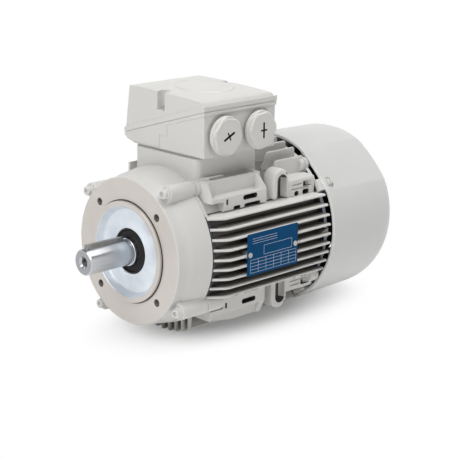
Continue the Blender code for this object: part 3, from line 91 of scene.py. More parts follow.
class Plane(Enum):
    """How an outline's two axes and its depth lie in the flange's frame."""

    ALONG = ((0, 0, 1), (1, 0, 0), (0, 1, 0))
    SIDE = ((1, 0, 0), (0, 0, -1), (0, 1, 0))
    UP = ((1, 0, 0), (0, 1, 0), (0, 0, 1))

    def put(self, u: float, v: float, depth: float) -> Vector:
        """Turns outline coordinates into a point of the flange's frame."""
        return Matrix(self.value) @ Vector((u, v, depth))


class Joining(Enum):
    """What a tool does to a solid."""

    ADD = "UNION"
    CUT = "DIFFERENCE"
    KEEP = "INTERSECT"


def arc(centre: Point, radius: float, first: float, last: float, steps: int = 8) -> Outline:
    """Draws an arc with both ends.

    Args:
        centre: Centre of the arc.
        radius: Radius of the arc.
        first: Angle of its first point, in degrees.
        last: Angle of its last point, in degrees.
        steps: Number of chords.

    Returns:
        The points of the arc.
    """
    angles = [radians(first + (last - first) * i / steps) for i in range(steps + 1)]
    return [(centre[0] + radius * cos(a), centre[1] + radius * sin(a)) for a in angles]


def rounded(corners: Sequence[Point], radius: float, steps: int = 4) -> Outline:
    """Rounds every corner of a closed outline.

    Args:
        corners: Corners in order.
        radius: Largest rounding; short sides limit it.
        steps: Chords per corner.

    Returns:
        The outline with an arc at each corner.
    """
    points: Outline = []
    for before, corner, after in zip([*corners[-1:], *corners[:-1]], corners, [*corners[1:], *corners[:1]]):
        at = Vector(corner)
        back, ahead = Vector(before) - at, Vector(after) - at
        half = back.angle(ahead) / 2
        reach = min(radius / tan(half), 0.45 * back.length, 0.45 * ahead.length)
        if half > 0.49 * pi or reach < 0.01:
            points.append(corner)
            continue
        size = reach * tan(half)
        middle = at + (back.normalized() + ahead.normalized()).normalized() * size / sin(half)
        start = at + back.normalized() * reach - middle
        turn = start.angle_signed(at + ahead.normalized() * reach - middle)
        points += [tuple(middle + Matrix.Rotation(-turn * i / steps, 2) @ start) for i in range(steps + 1)]
    return points


def stadium(first: Point, last: Point, radius: float, steps: int = 10) -> Outline:
    """Draws an outline with two straight sides and round ends about two points.

    Args:
        first: Centre of the first end.
        last: Centre of the last end.
        radius: Radius of the ends.
        steps: Chords per end.

    Returns:
        The closed outline.
    """
    heading = degrees(atan2(last[1] - first[1], last[0] - first[0]))
    ends = arc(last, radius, heading - 90, heading + 90, steps)
    return ends + arc(first, radius, heading + 90, heading + 270, steps)


def rounded_edges(mesh: bmesh.types.BMesh, rims: list[bmesh.types.BMEdge], edge: float,
                  steps: int = 3) -> None:
    """Rounds some edges of a mesh in place."""
    bmesh.ops.bevel(mesh, geom=rims, offset=edge, segments=steps, profile=0.5, affect="EDGES")


class Solid:
    """A closed mesh under construction, in millimetres in the flange's frame."""

    def __init__(self) -> None:
        """Starts with nothing."""
        self.mesh = bmesh.new()

    def skin(self, rings: Sequence[Sequence[Vector]], loop: bool = False, caps: bool = False) -> "Solid":
        """Adds faces between rings of points.

        Args:
            rings: Rings with one count of points each; a ring of one point is a pole.
            loop: Whether the last ring meets the first.
            caps: Whether the first and last ring are closed with a face.

        Returns:
            This solid.
        """
        part = bmesh.new()
        rows = [[part.verts.new(point) for point in ring] for ring in rings]
        count = max(len(row) for row in rows)
        for one, two in zip(rows, rows[1:] + rows[:1] if loop else rows[1:]):
            for i in range(count):
                j = (i + 1) % count
                picks = (one[i % len(one)], one[j % len(one)], two[j % len(two)], two[i % len(two)])
                corners = list(dict.fromkeys(picks))
                if len(corners) > 2:
                    part.faces.new(corners)
        if caps:
            part.faces.new(rows[0])
            part.faces.new(rows[-1])
        return self.take(part)

    def take(self, part: bmesh.types.BMesh) -> "Solid":
        """Adds another mesh's faces, turned outwards, and frees it.

        Args:
            part: Closed mesh to add.

        Returns:
            This solid.
        """
        bmesh.ops.recalc_face_normals(part, faces=part.faces)
        held = bpy.data.meshes.new("part")
        part.to_mesh(held)
        part.free()
        self.mesh.from_mesh(held)
        bpy.data.meshes.remove(held)
        return self

    def turn(self, profile: Outline, steps: int = FINE) -> "Solid":
        """Adds a shape turned about the shaft axis.

        Args:
            profile: Points of (along, radius); both ends on the axis, or a closed ring.
            steps: Facets round the axis.

        Returns:
            This solid.
        """
        angles = [2 * pi * i / steps for i in range(steps)]
        rings = []
        for x, radius in profile:
            if radius == 0:
                rings.append([Vector((x, 0, 0))])
            else:
                rings.append([Vector((x, radius * cos(a), radius * sin(a))) for a in angles])
        return self.skin(rings, loop=profile[0][1] > 0)

    def prism(self, outline: Outline, start: float, end: float, plane: Plane, edge: float = 0.0) -> "Solid":
        """Adds an outline drawn out along its plane's depth.

        Args:
            outline: Closed outline.
            start: Depth of its first face.
            end: Depth of its last face.
            plane: Where the outline lies.
            edge: Rounding of the edges of both end faces.

        Returns:
            This solid.
        """
        part = bmesh.new()
        rows = [[part.verts.new(plane.put(u, v, depth)) for u, v in outline] for depth in (start, end)]
        ends = [part.faces.new(row) for row in rows]
        count = len(outline)
        for i in range(count):
            j = (i + 1) % count
            part.faces.new((rows[0][i], rows[0][j], rows[1][j], rows[1][i]))
        bmesh.ops.recalc_face_normals(part, faces=part.faces)
        if edge:
            rims = list({rim for end_face in ends for rim in end_face.edges})
            rounded_edges(part, rims, edge)
        return self.take(part)

    def block(self, low: Sequence[float], high: Sequence[float], edge: float = 0.0) -> "Solid":
        """Adds a block with rounded edges.

        Args:
            low: Lowest corner.
            high: Highest corner.
            edge: Rounding of all edges.

        Returns:
            This solid.
        """
        part = bmesh.new()
        bmesh.ops.create_cube(part, size=1)
        size = Vector(high) - Vector(low)
        middle = (Vector(high) + Vector(low)) / 2
        part.transform(Matrix.Translation(middle) @ Matrix.Diagonal((*size, 1)))
        if edge:
            rounded_edges(part, part.edges[:], edge)
        return self.take(part)

    def bevel(self, edge: float, angle: float = 40, steps: int = 3) -> "Solid":
        """Rounds every edge that is sharper than an angle, in degrees."""
        rims = [rim for rim in self.mesh.edges if rim.calc_face_angle(0) > radians(angle)]
        rounded_edges(self.mesh, rims, edge, steps)
        return self

    def moved(self, matrix: Matrix) -> "Solid":
        """Moves, turns or mirrors the whole solid, with its faces kept outwards."""
        self.mesh.transform(matrix)
        if matrix.determinant() < 0:
            bmesh.ops.reverse_faces(self.mesh, faces=self.mesh.faces)
        return self

    def copy(self) -> "Solid":
        """Gives a second solid of the same shape."""
        twin = Solid()
        twin.mesh.free()
        twin.mesh = self.mesh.copy()
        return twin

    def corners(self) -> "Solid":
        """Adds the mirror images that put the solid in the motor's four corners."""
        return self.pair().put(self.copy().moved(Matrix.Diagonal((1, 1, -1, 1))).baked())

    def pair(self, row: int = 1) -> "Solid":
        """Turns the solid to a row, 1 above and -1 below, and adds its image on the near side."""
        self.moved(Matrix.Diagonal((1, 1, row, 1)))
        return self.put(self.copy().moved(Matrix.Diagonal((1, -1, 1, 1))).baked())

    def put(self, mesh: Mesh) -> "Solid":
        """Adds a mesh as it is and removes it."""
        self.mesh.from_mesh(mesh)
        bpy.data.meshes.remove(mesh)
        return self

    def baked(self, name: str = "shape") -> Mesh:
        """Turns the solid into a mesh, in millimetres, and frees it."""
        mesh = bpy.data.meshes.new(name)
        self.mesh.to_mesh(mesh)
        self.mesh.free()
        return mesh

    def join(self, tool: "Solid", joining: Joining) -> "Solid":
        """Adds a tool to the solid, takes it away or keeps what both share.

        Args:
            tool: Closed solid that is used up.
            joining: What the tool does.

        Returns:
            This solid.
        """
        body = link_temporary(self.baked("body"))
        other = link_temporary(tool.baked("tool"))
        modifier = body.modifiers.new("join", "BOOLEAN")
        modifier.operation = joining.value
        modifier.solver = "MANIFOLD"
        modifier.object = other
        self.mesh = bmesh.new()
        self.put(evaluated(body))
        for used in (body, other):
            drop(used)
        return self

    def add(self, tool: "Solid") -> "Solid":
        """Fuses a tool to the solid."""
        return self.join(tool, Joining.ADD)

    def cut(self, tool: "Solid") -> "Solid":
        """Takes a tool away from the solid."""
        return self.join(tool, Joining.CUT)


def link_temporary(mesh: Mesh) -> Object:
    """Links a mesh as an object that is dropped again."""
    obj = bpy.data.objects.new(mesh.name, mesh)
    bpy.context.scene.collection.objects.link(obj)
    return obj


def evaluated(obj: Object) -> Mesh:
    """Gives an object's mesh with its modifiers applied."""
    bpy.context.view_layer.update()
    graph = bpy.context.evaluated_depsgraph_get()
    return bpy.data.meshes.new_from_object(obj.evaluated_get(graph), depsgraph=graph)


def drop(obj: Object) -> None:
    """Removes an object and its mesh."""
    mesh = obj.data
    bpy.data.objects.remove(obj, do_unlink=True)
    bpy.data.meshes.remove(mesh)


class Graph:
    """Adds nodes and sockets to a node tree."""

    def __init__(self, tree: NodeTree) -> None:
        """Keeps the tree."""
        self.tree = tree

    def socket(self, name: str, kind: str, flow: str = "INPUT", value: object = None) -> None:
        """Adds a socket to the tree's interface.

        Args:
            name: Name of the socket.
            kind: Blender's socket type.
            flow: INPUT or OUTPUT.
            value: Default value.
        """
        made = self.tree.interface.new_socket(name, in_out=flow, socket_type=kind)
        if value is not None:
            made.default_value = value

    def add(self, kind: str, inputs: dict | None = None, **settings: object) -> Node:
        """Adds a node.

        Args:
            kind: Blender's node type.
            inputs: Value or source socket for each input, by name or index.
            settings: Attributes of the node.

        Returns:
            The node.
        """
        node = self.tree.nodes.new(kind)
        for key, value in settings.items():
            setattr(node, key, value)
        self.feed(node, inputs or {})
        return node

    def feed(self, node: Node, inputs: dict) -> None:
        """Sets a value, or links a source socket, for each input of a node, by name or index."""
        for key, value in inputs.items():
            if isinstance(value, NodeSocket):
                self.tree.links.new(value, node.inputs[key])
            else:
                node.inputs[key].default_value = value

    def math(self, operation: str, *values: object) -> NodeSocket:
        """Adds a Math node and gives its result."""
        return self.add("ShaderNodeMath", dict(enumerate(values)), operation=operation).outputs[0]

    def graded(self, value: NodeSocket, limits: Sequence[object], results: Point = (0.0, 1.0)) -> NodeSocket:
        """Adds a smooth change between two results where a value goes from one limit to the other."""
        inputs = {"Value": value, "From Min": limits[0], "From Max": limits[1]}
        inputs |= {"To Min": results[0], "To Max": results[1]}
        return self.add("ShaderNodeMapRange", inputs, interpolation_type="SMOOTHSTEP").outputs[0]

    def seen(self) -> NodeSocket:
        """Adds the mask of rays that show the background: straight, mirrored or through glass."""
        path = self.add("ShaderNodeLightPath").outputs
        shown = self.math("MAXIMUM", path["Is Camera Ray"], path["Is Glossy Ray"])
        return self.math("MAXIMUM", shown, path["Is Transmission Ray"])


def geometry_tree(name: str, sizes: dict[str, tuple[str, object]]) -> tuple[Graph, Sockets]:
    """Starts a Geometry Nodes tree that takes an item and a material.

    Args:
        name: Name of the tree.
        sizes: Socket type and default of each further input.

    Returns:
        The graph and the sockets of its inputs.
    """
    graph = Graph(bpy.data.node_groups.new(name, "GeometryNodeTree"))
    graph.socket("Item", "NodeSocketGeometry")
    for size, (kind, value) in sizes.items():
        graph.socket(size, kind, value=value)
    graph.socket("Finish", "NodeSocketMaterial")
    graph.socket("Result", "NodeSocketGeometry", "OUTPUT")
    return graph, graph.add("NodeGroupInput").outputs


def copies_at(graph: Graph, given: Sockets, place: NodeSocket, **inputs: object) -> NodeSocket:
    """Adds nodes that put a copy of the item at each place of a count.

    Args:
        graph: Graph of the tree.
        given: Sockets of its inputs.
        place: Place of each copy.
        inputs: Further inputs of the copies.

    Returns:
        The instances.
    """
    points = graph.add("GeometryNodePoints", {"Count": given["Count"], "Position": place})
    sources = {"Points": points.outputs[0], "Instance": given["Item"], **inputs}
    return graph.add("GeometryNodeInstanceOnPoints", sources).outputs[0]


def close_tree(graph: Graph, given: Sockets, instances: NodeSocket) -> NodeTree:
    """Ends a Geometry Nodes tree with real copies in their finish.

    Args:
        graph: Graph of the tree.
        given: Sockets of its inputs.
        instances: Instances to make real.

    Returns:
        The finished tree.
    """
    real = graph.add("GeometryNodeRealizeInstances", {0: instances})
    dressed = graph.add("GeometryNodeSetMaterial", {0: real.outputs[0], 2: given["Finish"]})
    graph.add("NodeGroupOutput", {0: dressed.outputs[0]})
    return graph.tree


def ring_tree() -> NodeTree:
    """Builds the tree that sets copies in a ring about the shaft, the first on +y turned by a phase."""
    sizes = {
        "Count": ("NodeSocketInt", 4),
        "Radius": ("NodeSocketFloat", 0.0),
        "Phase": ("NodeSocketFloat", 0.0),
    }
    graph, given = geometry_tree("copies_in_a_ring", sizes)
    index = graph.add("GeometryNodeInputIndex").outputs[0]
    step = graph.math("DIVIDE", 2 * pi, given["Count"])
    angle = graph.math("MULTIPLY_ADD", index, step, given["Phase"])
    across = graph.math("MULTIPLY", graph.math("COSINE", angle), given["Radius"])
    upright = graph.math("MULTIPLY", graph.math("SINE", angle), given["Radius"])
    place = graph.add("ShaderNodeCombineXYZ", {1: across, 2: upright})
    euler = graph.add("ShaderNodeCombineXYZ", {0: angle})
    turn = graph.add("FunctionNodeEulerToRotation", {0: euler.outputs[0]})
    copies = copies_at(graph, given, place.outputs[0], Rotation=turn.outputs[0])
    return close_tree(graph, given, copies)


def fin_tree() -> NodeTree:
    """Builds the tree that stands parallel fins on the barrel, with their tips on one circle."""
    sizes = {
        "Count": ("NodeSocketInt", 9),
        "Pitch": ("NodeSocketFloat", 10.0),
        "Reach": ("NodeSocketFloat", 99.0),
        "Turn": ("NodeSocketFloat", 0.0),
    }
    graph, given = geometry_tree("row_of_fins", sizes)
    index = graph.add("GeometryNodeInputIndex").outputs[0]
    last = graph.math("SUBTRACT", given["Count"], 1.0)
    middle = graph.math("DIVIDE", last, 2.0)
    height = graph.math("MULTIPLY", graph.math("SUBTRACT", index, middle), given["Pitch"])
    reach = given["Reach"]
    reach_square = graph.math("MULTIPLY", reach, reach)
    square = graph.math("SUBTRACT", reach_square, graph.math("MULTIPLY", height, height))
    place = graph.add("ShaderNodeCombineXYZ", {1: graph.math("SQRT", square), 2: height})
    copies = copies_at(graph, given, place.outputs[0])
    euler = graph.add("ShaderNodeCombineXYZ", {0: given["Turn"]})
    turned = graph.add("GeometryNodeTransform", {"Geometry": copies, "Rotation": euler.outputs[0]})
    return close_tree(graph, given, turned.outputs[0])


def row_tree() -> NodeTree:
    """Builds the tree that sets copies of an item in a straight row, from the item's own place onwards."""
    sizes = {"Count": ("NodeSocketInt", 2), "Step": ("NodeSocketVector", (1.0, 0.0, 0.0))}
    graph, given = geometry_tree("copies_in_a_row", sizes)
    index = graph.add("GeometryNodeInputIndex").outputs[0]
    inputs = {0: given["Step"], "Scale": index}
    place = graph.add("ShaderNodeVectorMath", inputs, operation="SCALE")
    return close_tree(graph, given, copies_at(graph, given, place.outputs[0]))


RING = ring_tree()
FINS = fin_tree()
ROW = row_tree()


def repeated(tree: NodeTree, item: Solid, finish: Material, **sizes: object) -> Solid:
    """Runs a Geometry Nodes tree on an item.

    Args:
        tree: Tree that copies the item.
        item: Item to copy; it is used up.
        finish: Material of the copies.
        sizes: Values of the tree's inputs, by their names in lower case.

    Returns:
        A solid that holds the real copies.
    """
    carrier = link_temporary(item.baked("item"))
    modifier = carrier.modifiers.new(tree.name, "NODES")
    modifier.node_group = tree
    for socket in tree.interface.items_tree:
        key = socket.name.lower()
        if socket.in_out == "INPUT" and key in sizes:
            modifier[socket.identifier] = sizes[key]
        elif socket.in_out == "INPUT" and key == "finish":
            modifier[socket.identifier] = finish
    copies = Solid().put(evaluated(carrier))
    drop(carrier)
    return copies


def shader_group(name: str, inputs: dict[str, object], outputs: Sequence[str]) -> tuple[Graph, Sockets]:
    """Starts a shader node group.

    Args:
        name: Name of the group.
        inputs: Default of each input; four numbers are a colour, one is a value.
        outputs: Names of the outputs, of which Colour is a colour and the others are values.

    Returns:
        The graph and the sockets of its inputs.
    """
    graph = Graph(bpy.data.node_groups.new(name, "ShaderNodeTree"))
    for key, value in inputs.items():
        graph.socket(key, "NodeSocketColor" if isinstance(value, tuple) else "NodeSocketFloat", value=value)
    for key in outputs:
        graph.socket(key, "NodeSocketColor" if key == "Colour" else "NodeSocketFloat", "OUTPUT")
    return graph, graph.add("NodeGroupInput").outputs


def grain_group() -> NodeTree:
    """Builds the group for uneven surfaces: drifting tones, a drifting roughness and a fine relief."""
    inputs = {
        "Tone": (0.8, 0.8, 0.8, 1),
        "Second Tone": (0.7, 0.7, 0.7, 1),
        "Patch Scale": 30.0,
        "Grain Scale": 900.0,
        "Least Roughness": 0.3,
        "Most Roughness": 0.5,
    }
    graph, given = shader_group("surface_grain", inputs, ("Colour", "Roughness", "Height"))
    where = graph.add("ShaderNodeTexCoord").outputs["Object"]
    values = {"Vector": where, "Scale": given["Patch Scale"], "Detail": 4.0}
    patch = graph.add("ShaderNodeTexNoise", values)
    values = {"Vector": where, "Scale": given["Grain Scale"], "Detail": 2.0}
    grain = graph.add("ShaderNodeTexNoise", values)
    values = {0: patch.outputs[0], 6: given["Tone"], 7: given["Second Tone"]}
    tone = graph.add("ShaderNodeMix", values, data_type="RGBA")
    least, most = given["Least Roughness"], given["Most Roughness"]
    rough = graph.add("ShaderNodeMapRange", {"Value": patch.outputs[0], "To Min": least, "To Max": most})
    values = {"Colour": tone.outputs[2], "Roughness": rough.outputs[0], "Height": grain.outputs[0]}
    graph.add("NodeGroupOutput", values)
    return graph.tree


def shaft_place(graph: Graph, given: Sockets) -> tuple[NodeSocket, NodeSocket]:
    """Adds nodes that measure from the shaft.

    Args:
        graph: Graph of a group that has the input Axis Height.
        given: Sockets of its inputs.

    Returns:
        The place along the shaft and the distance from its axis.
    """
    where = graph.add("ShaderNodeTexCoord").outputs["Object"]
    parts = graph.add("ShaderNodeSeparateXYZ", {0: where}).outputs
    upright = graph.math("SUBTRACT", parts[2], given["Axis Height"])
    square = graph.math("MULTIPLY", parts[1], parts[1])
    return parts[0], graph.math("SQRT", graph.math("MULTIPLY_ADD", upright, upright, square))


def lathe_group() -> NodeTree:
    """Builds the group for tool marks that a lathe leaves, either along the shaft or across a face."""
    inputs = {"Axis Height": 0.1, "Pitch": 0.0006, "Across Face": 0.0}
    graph, given = shader_group("lathe_marks", inputs, ("Marks",))
    along, radius = shaft_place(graph, given)
    values = {0: given["Across Face"], 2: along, 3: radius}
    way = graph.add("ShaderNodeMix", values, data_type="FLOAT").outputs[0]
    values = {"W": graph.math("DIVIDE", way, given["Pitch"]), "Scale": 1.0, "Detail": 3.0}
    drift = graph.add("ShaderNodeTexNoise", values, noise_dimensions="1D")
    graph.add("NodeGroupOutput", {"Marks": drift.outputs[0]})
    return graph.tree


def recess_shade_group() -> NodeTree:
    """Builds the group that darkens a tone towards the shaft: painted shade between the fins."""
    inputs = {
        "Tone": (0.8, 0.8, 0.8, 1),
        "Shade Tone": (0.3, 0.3, 0.3, 1),
        "Axis Height": 0.1,
        "Floor Radius": 0.086,
        "Tip Radius": 0.0975,
    }
    graph, given = shader_group("recess_painted_shade", inputs, ("Colour",))
    radius = shaft_place(graph, given)[1]
    share = graph.graded(radius, (given["Floor Radius"], given["Tip Radius"]))
    values = {0: share, 6: given["Shade Tone"], 7: given["Tone"]}
    tone = graph.add("ShaderNodeMix", values, data_type="RGBA")
    graph.add("NodeGroupOutput", {"Colour": tone.outputs[2]})
    return graph.tree


GRAIN = grain_group()
LATHE = lathe_group()
RECESS_SHADE = recess_shade_group()


def linear(red: int, green: int, blue: int) -> tuple[float, float, float, float]:
    """Turns a colour of 0 to 255 per channel into Blender's linear values."""

    def channel(value: int) -> float:
        """Turns one channel into its linear value."""
        share = value / 255
        return share / 12.92 if share <= 0.04045 else ((share + 0.055) / 1.055) ** 2.4

    return (channel(red), channel(green), channel(blue), 1.0)


@dataclass(frozen=True)
class Finish:
    """A surface with drifting tone and fine relief."""

    name: str
    tone: Tone
    second: Tone
    roughness: tuple[float, float] = (0.35, 0.5)
    patch: float = 25.0
    grain: float = 1200.0
    relief: float = 0.00004
    metallic: float = 0.0
    coat: float = 0.0
    lathe: float = 0.0
    across: float = 0.0
    specular: float = 0.5
    streaks: float = 0.0
    # Tone of the painted shade towards the shaft, between the fins.
    deep: Tone | None = None

    def made(self) -> Material:
        """Builds the material.

        Returns:
            The material with its nodes.
        """
        material = bpy.data.materials.new(self.name)
        material.use_nodes = True
        graph = Graph(material.node_tree)
        shader = material.node_tree.nodes["Principled BSDF"]
        values = {
            "Tone": linear(*self.tone),
            "Second Tone": linear(*self.second),
            "Patch Scale": self.patch,
            "Grain Scale": self.grain,
            "Least Roughness": self.roughness[0],
            "Most Roughness": self.roughness[1],
        }
        grain = graph.add("ShaderNodeGroup", values, node_tree=GRAIN)
        height, colour = grain.outputs["Height"], grain.outputs["Colour"]
        if self.lathe:
            values = {"Axis Height": DATUM.z, "Pitch": self.lathe, "Across Face": self.across}
            marks = graph.add("ShaderNodeGroup", values, node_tree=LATHE)
            height = graph.math("ADD", marks.outputs[0], graph.math("MULTIPLY", height, GRAIN_UNDER_MARKS))
        # Painted shade: the tone darkens towards the shaft.
        if self.deep:
            values = {"Tone": colour, "Shade Tone": linear(*self.deep), "Axis Height": DATUM.z}
            colour = graph.add("ShaderNodeGroup", values, node_tree=RECESS_SHADE).outputs["Colour"]
        bump = graph.add("ShaderNodeBump", {"Height": height, "Distance": self.relief})
        inputs = {
            "Base Color": colour,
            "Roughness": grain.outputs["Roughness"],
            "Normal": bump.outputs[0],
            "Metallic": self.metallic,
            "Coat Weight": self.coat,
            "Specular IOR Level": self.specular,
        }
        if self.streaks:
            around = graph.add("ShaderNodeTangent", direction_type="RADIAL", axis="X")
            inputs["Tangent"] = around.outputs[0]
            inputs["Anisotropic"] = self.streaks
            inputs["Anisotropic Rotation"] = QUARTER_TURN
        graph.feed(shader, inputs)
        return material


PAINT = Finish("grey_paint", (221, 220, 217), (216, 215, 212), (0.38, 0.48), specular=0.3).made()
# Darker tones between the fins, darkest near the barrel: painted shade.
FIN_SHADE = Finish("painted_fin_shade", (168, 164, 159), (160, 156, 151), (0.4, 0.52), deep=(104, 100, 96)).made()
# Dark grey in the pads' pockets and on the shaded side of the bosses' grooves: painted shade.
POCKET_SHADE = Finish("painted_pocket_shade", (88, 86, 83), (78, 76, 73), (0.5, 0.6), specular=0.3).made()
SHEET_PAINT = Finish("cowl_paint", (219, 219, 217), (214, 214, 212), (0.34, 0.42), grain=900.0).made()
# Near-white on the front edge of the cowl's rim: a painted highlight.
RIM_HIGHLIGHT = Finish("painted_rim_highlight", (246, 246, 244), (240, 240, 238), (0.3, 0.38), grain=900.0).made()
BARE = Finish("bare_rim", (150, 158, 168), (136, 144, 154), (0.4, 0.52), 60.0, metallic=0.2).made()
# Near-black grey inside the cowl and on the barrel just behind the shield's rim: painted deep shade.
DEEP_SHADE = Finish("painted_deep_shade", (70, 71, 73), (60, 61, 63), (0.5, 0.65), specular=0.3).made()
CAST = Finish(
    "bare_casting", (240, 244, 248), (208, 217, 227), (0.3, 0.48), 70.0, grain=700.0, metallic=0.6
).made()
# Dark tone inside the tapped holes and the spigot's groove: painted shade.
BORE = Finish(
    "tapped_bore_painted_shade", (112, 108, 105), (96, 92, 90), (0.4, 0.55), 200.0, metallic=0.4, specular=0.3
).made()
FACED = Finish(
    "faced_casting", (217, 211, 205), (204, 198, 192), (0.34, 0.46), metallic=0.3, lathe=0.0005, across=1.0
).made()
GROUND = Finish(
    "ground_steel", (206, 209, 213), (188, 191, 196), (0.2, 0.28), 60.0, metallic=1.0, lathe=0.0004,
    relief=0.000004, streaks=0.75
).made()
TURNED = Finish(
    "turned_end", (176, 177, 180), (160, 161, 164), (0.3, 0.4), 120.0, metallic=0.9, lathe=0.0005, across=1.0
).made()
KEY_STEEL = Finish("key_steel", (152, 151, 149), (132, 131, 130), (0.3, 0.42), 90.0, metallic=1.0).made()
ZINC = Finish("zinc_plate", (190, 190, 186), (168, 168, 166), (0.3, 0.42), 200.0, metallic=0.9).made()
STEEL = Finish("bearing_steel", (178, 180, 184), (160, 162, 166), (0.18, 0.26), 80.0, metallic=1.0).made()
SHEETS = Finish("core_sheets", (96, 98, 104), (74, 76, 82), (0.45, 0.6), metallic=0.8, lathe=0.0005).made()
CAGE = Finish("cage_casting", (196, 198, 201), (176, 178, 182), (0.4, 0.55), metallic=0.9).made()
VARNISH = Finish("varnished_winding", (176, 108, 70), (140, 76, 48), (0.3, 0.45), 300.0, coat=0.4).made()
RUBBER = Finish("black_rubber", (34, 34, 36), (42, 42, 44), (0.5, 0.68), 120.0, specular=0.2).made()
GASKET = Finish("grey_gasket", (176, 176, 172), (164, 164, 160), (0.6, 0.75), 120.0).made()
PLASTIC = Finish("grey_plastic", (222, 221, 217), (216, 215, 211), (0.34, 0.42), 60.0).made()
BLACK = Finish("black_plastic", (26, 26, 28), (34, 34, 36), (0.42, 0.55), 80.0, specular=0.3).made()
BRASS = Finish("brass", (202, 170, 96), (184, 150, 80), (0.22, 0.34), 150.0, metallic=1.0).made()
BLUE = Finish("blue_anodised", (0, 74, 120), (0, 68, 112), (0.35, 0.45), 80.0, specular=0.06).made()
WHITE_PRINT = Finish("white_print", (206, 216, 228), (190, 202, 216), (0.4, 0.5), 200.0).made()


@dataclass
class Piece:
    """Where a finished piece goes."""

    name: str
    slot: str
    nodes: tuple[str, ...]
    body: str = "stator"

    def finish(self, solid: Solid, *materials: Material, pick: Callable | None = None,
               sharp: float = SMOOTH_ANGLE) -> None:
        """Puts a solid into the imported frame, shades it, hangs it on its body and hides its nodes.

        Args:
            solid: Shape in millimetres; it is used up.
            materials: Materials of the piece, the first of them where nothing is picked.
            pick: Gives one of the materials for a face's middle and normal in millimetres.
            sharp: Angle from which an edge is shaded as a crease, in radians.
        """
        bmesh.ops.remove_doubles(solid.mesh, verts=solid.mesh.verts, dist=WELD)
        numbers = {material.name: number for number, material in enumerate(materials)}
        for face in solid.mesh.faces:
            face.smooth = True
            picked = pick(face.calc_center_median(), face.normal) if pick else materials[0]
            face.material_index = numbers[picked.name]
        solid.mesh.transform(TO_FRAME)
        mesh = solid.baked(self.name)
        for material in materials:
            mesh.materials.append(material)
        mesh.set_sharp_from_angle(angle=sharp)
        obj = link_temporary(mesh)
        obj.name = self.name
        weights = obj.modifiers.new("even_shading", "WEIGHTED_NORMAL")
        weights.keep_sharp = True
        shaded = evaluated(obj)
        obj.modifiers.clear()
        obj.data = shaded
        shaded.name = self.name
        bpy.data.meshes.remove(mesh)
        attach(obj, self.body)
        if self.nodes:
            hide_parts(*self.nodes)
        triangles = sum(len(face.vertices) - 2 for face in shaded.polygons)
        LOG.info("%s: %d triangles on %s", self.name, triangles, self.body)


def numbered(name: str, count: int) -> tuple[str, ...]:
    """Names of nodes that share a name and have a number."""
    return tuple(f"{name}_{i + 1}" for i in range(count))


def middle_x(node: str) -> float:
    """Place of a node's middle along the shaft."""
    low, high = span(node)
    return (low.x + high.x) / 2


def clamped(share: float) -> float:
    """Keeps a share between 0 and 1."""
    return min(max(share, 0.0), 1.0)


def rectangle(low: Point, high: Point) -> Outline:
    """Draws a rectangle between two opposite corners."""
    return [low, (high[0], low[1]), high, (low[0], high[1])]


def thread(start: float, end: float, pitch: float, radius: float, depth: float) -> tuple[Outline, float]:
    """Draws the grooves of a tapped hole.

    Args:
        start: Where the first groove begins.
        end: Where no further groove begins.
        pitch: From groove to groove.
        radius: Middle radius of the thread.
        depth: Height of its crests and depth of its roots.

    Returns:
        Points of (along, radius) and the place where the thread ends.
    """
    points: Outline = []
    along = start
    while along < end:
        points += [(along, radius - depth), (along + pitch / 2, radius + depth)]
        along += pitch
    return points, along


TO_NEAR = Matrix.Rotation(-pi / 2, 4, "Z")
TO_TOP = Matrix.Rotation(-pi / 2, 4, "Y")
TIE_ANGLE = radians(126.0)
TIE_RADIUS = 88.7
LUG_ROOT = 78.0
LUG = 8.0
JOINT_SEAT = 75.7
JOINT_BORE = 70.7
HUB = 38.3
BEARING_SEAT = 31.3


def tie_lugs(ends: Point, finish: Material, edge: float = 1.2, root: float = LUG_ROOT,
             tip: float = TIE_RADIUS, radius: float = LUG) -> Solid:
    """Makes the four lugs that the shields' screws go through.

    Args:
        ends: Front and rear of the lugs along the shaft.
        finish: Material of the lugs.
        edge: Rounding of their end faces.
        root: Where a lug starts, from the shaft axis.
        tip: Centre of its round end, from the shaft axis.
        radius: Radius of its round end.

    Returns:
        The lugs.
    """
    outline = [(root, -radius), *arc((tip, 0), radius, -90, 90, 12), (root, radius)]
    one = Solid().prism(outline, *ends, Plane.ALONG, edge)
    return repeated(RING, one, finish, count=4, phase=TIE_ANGLE)


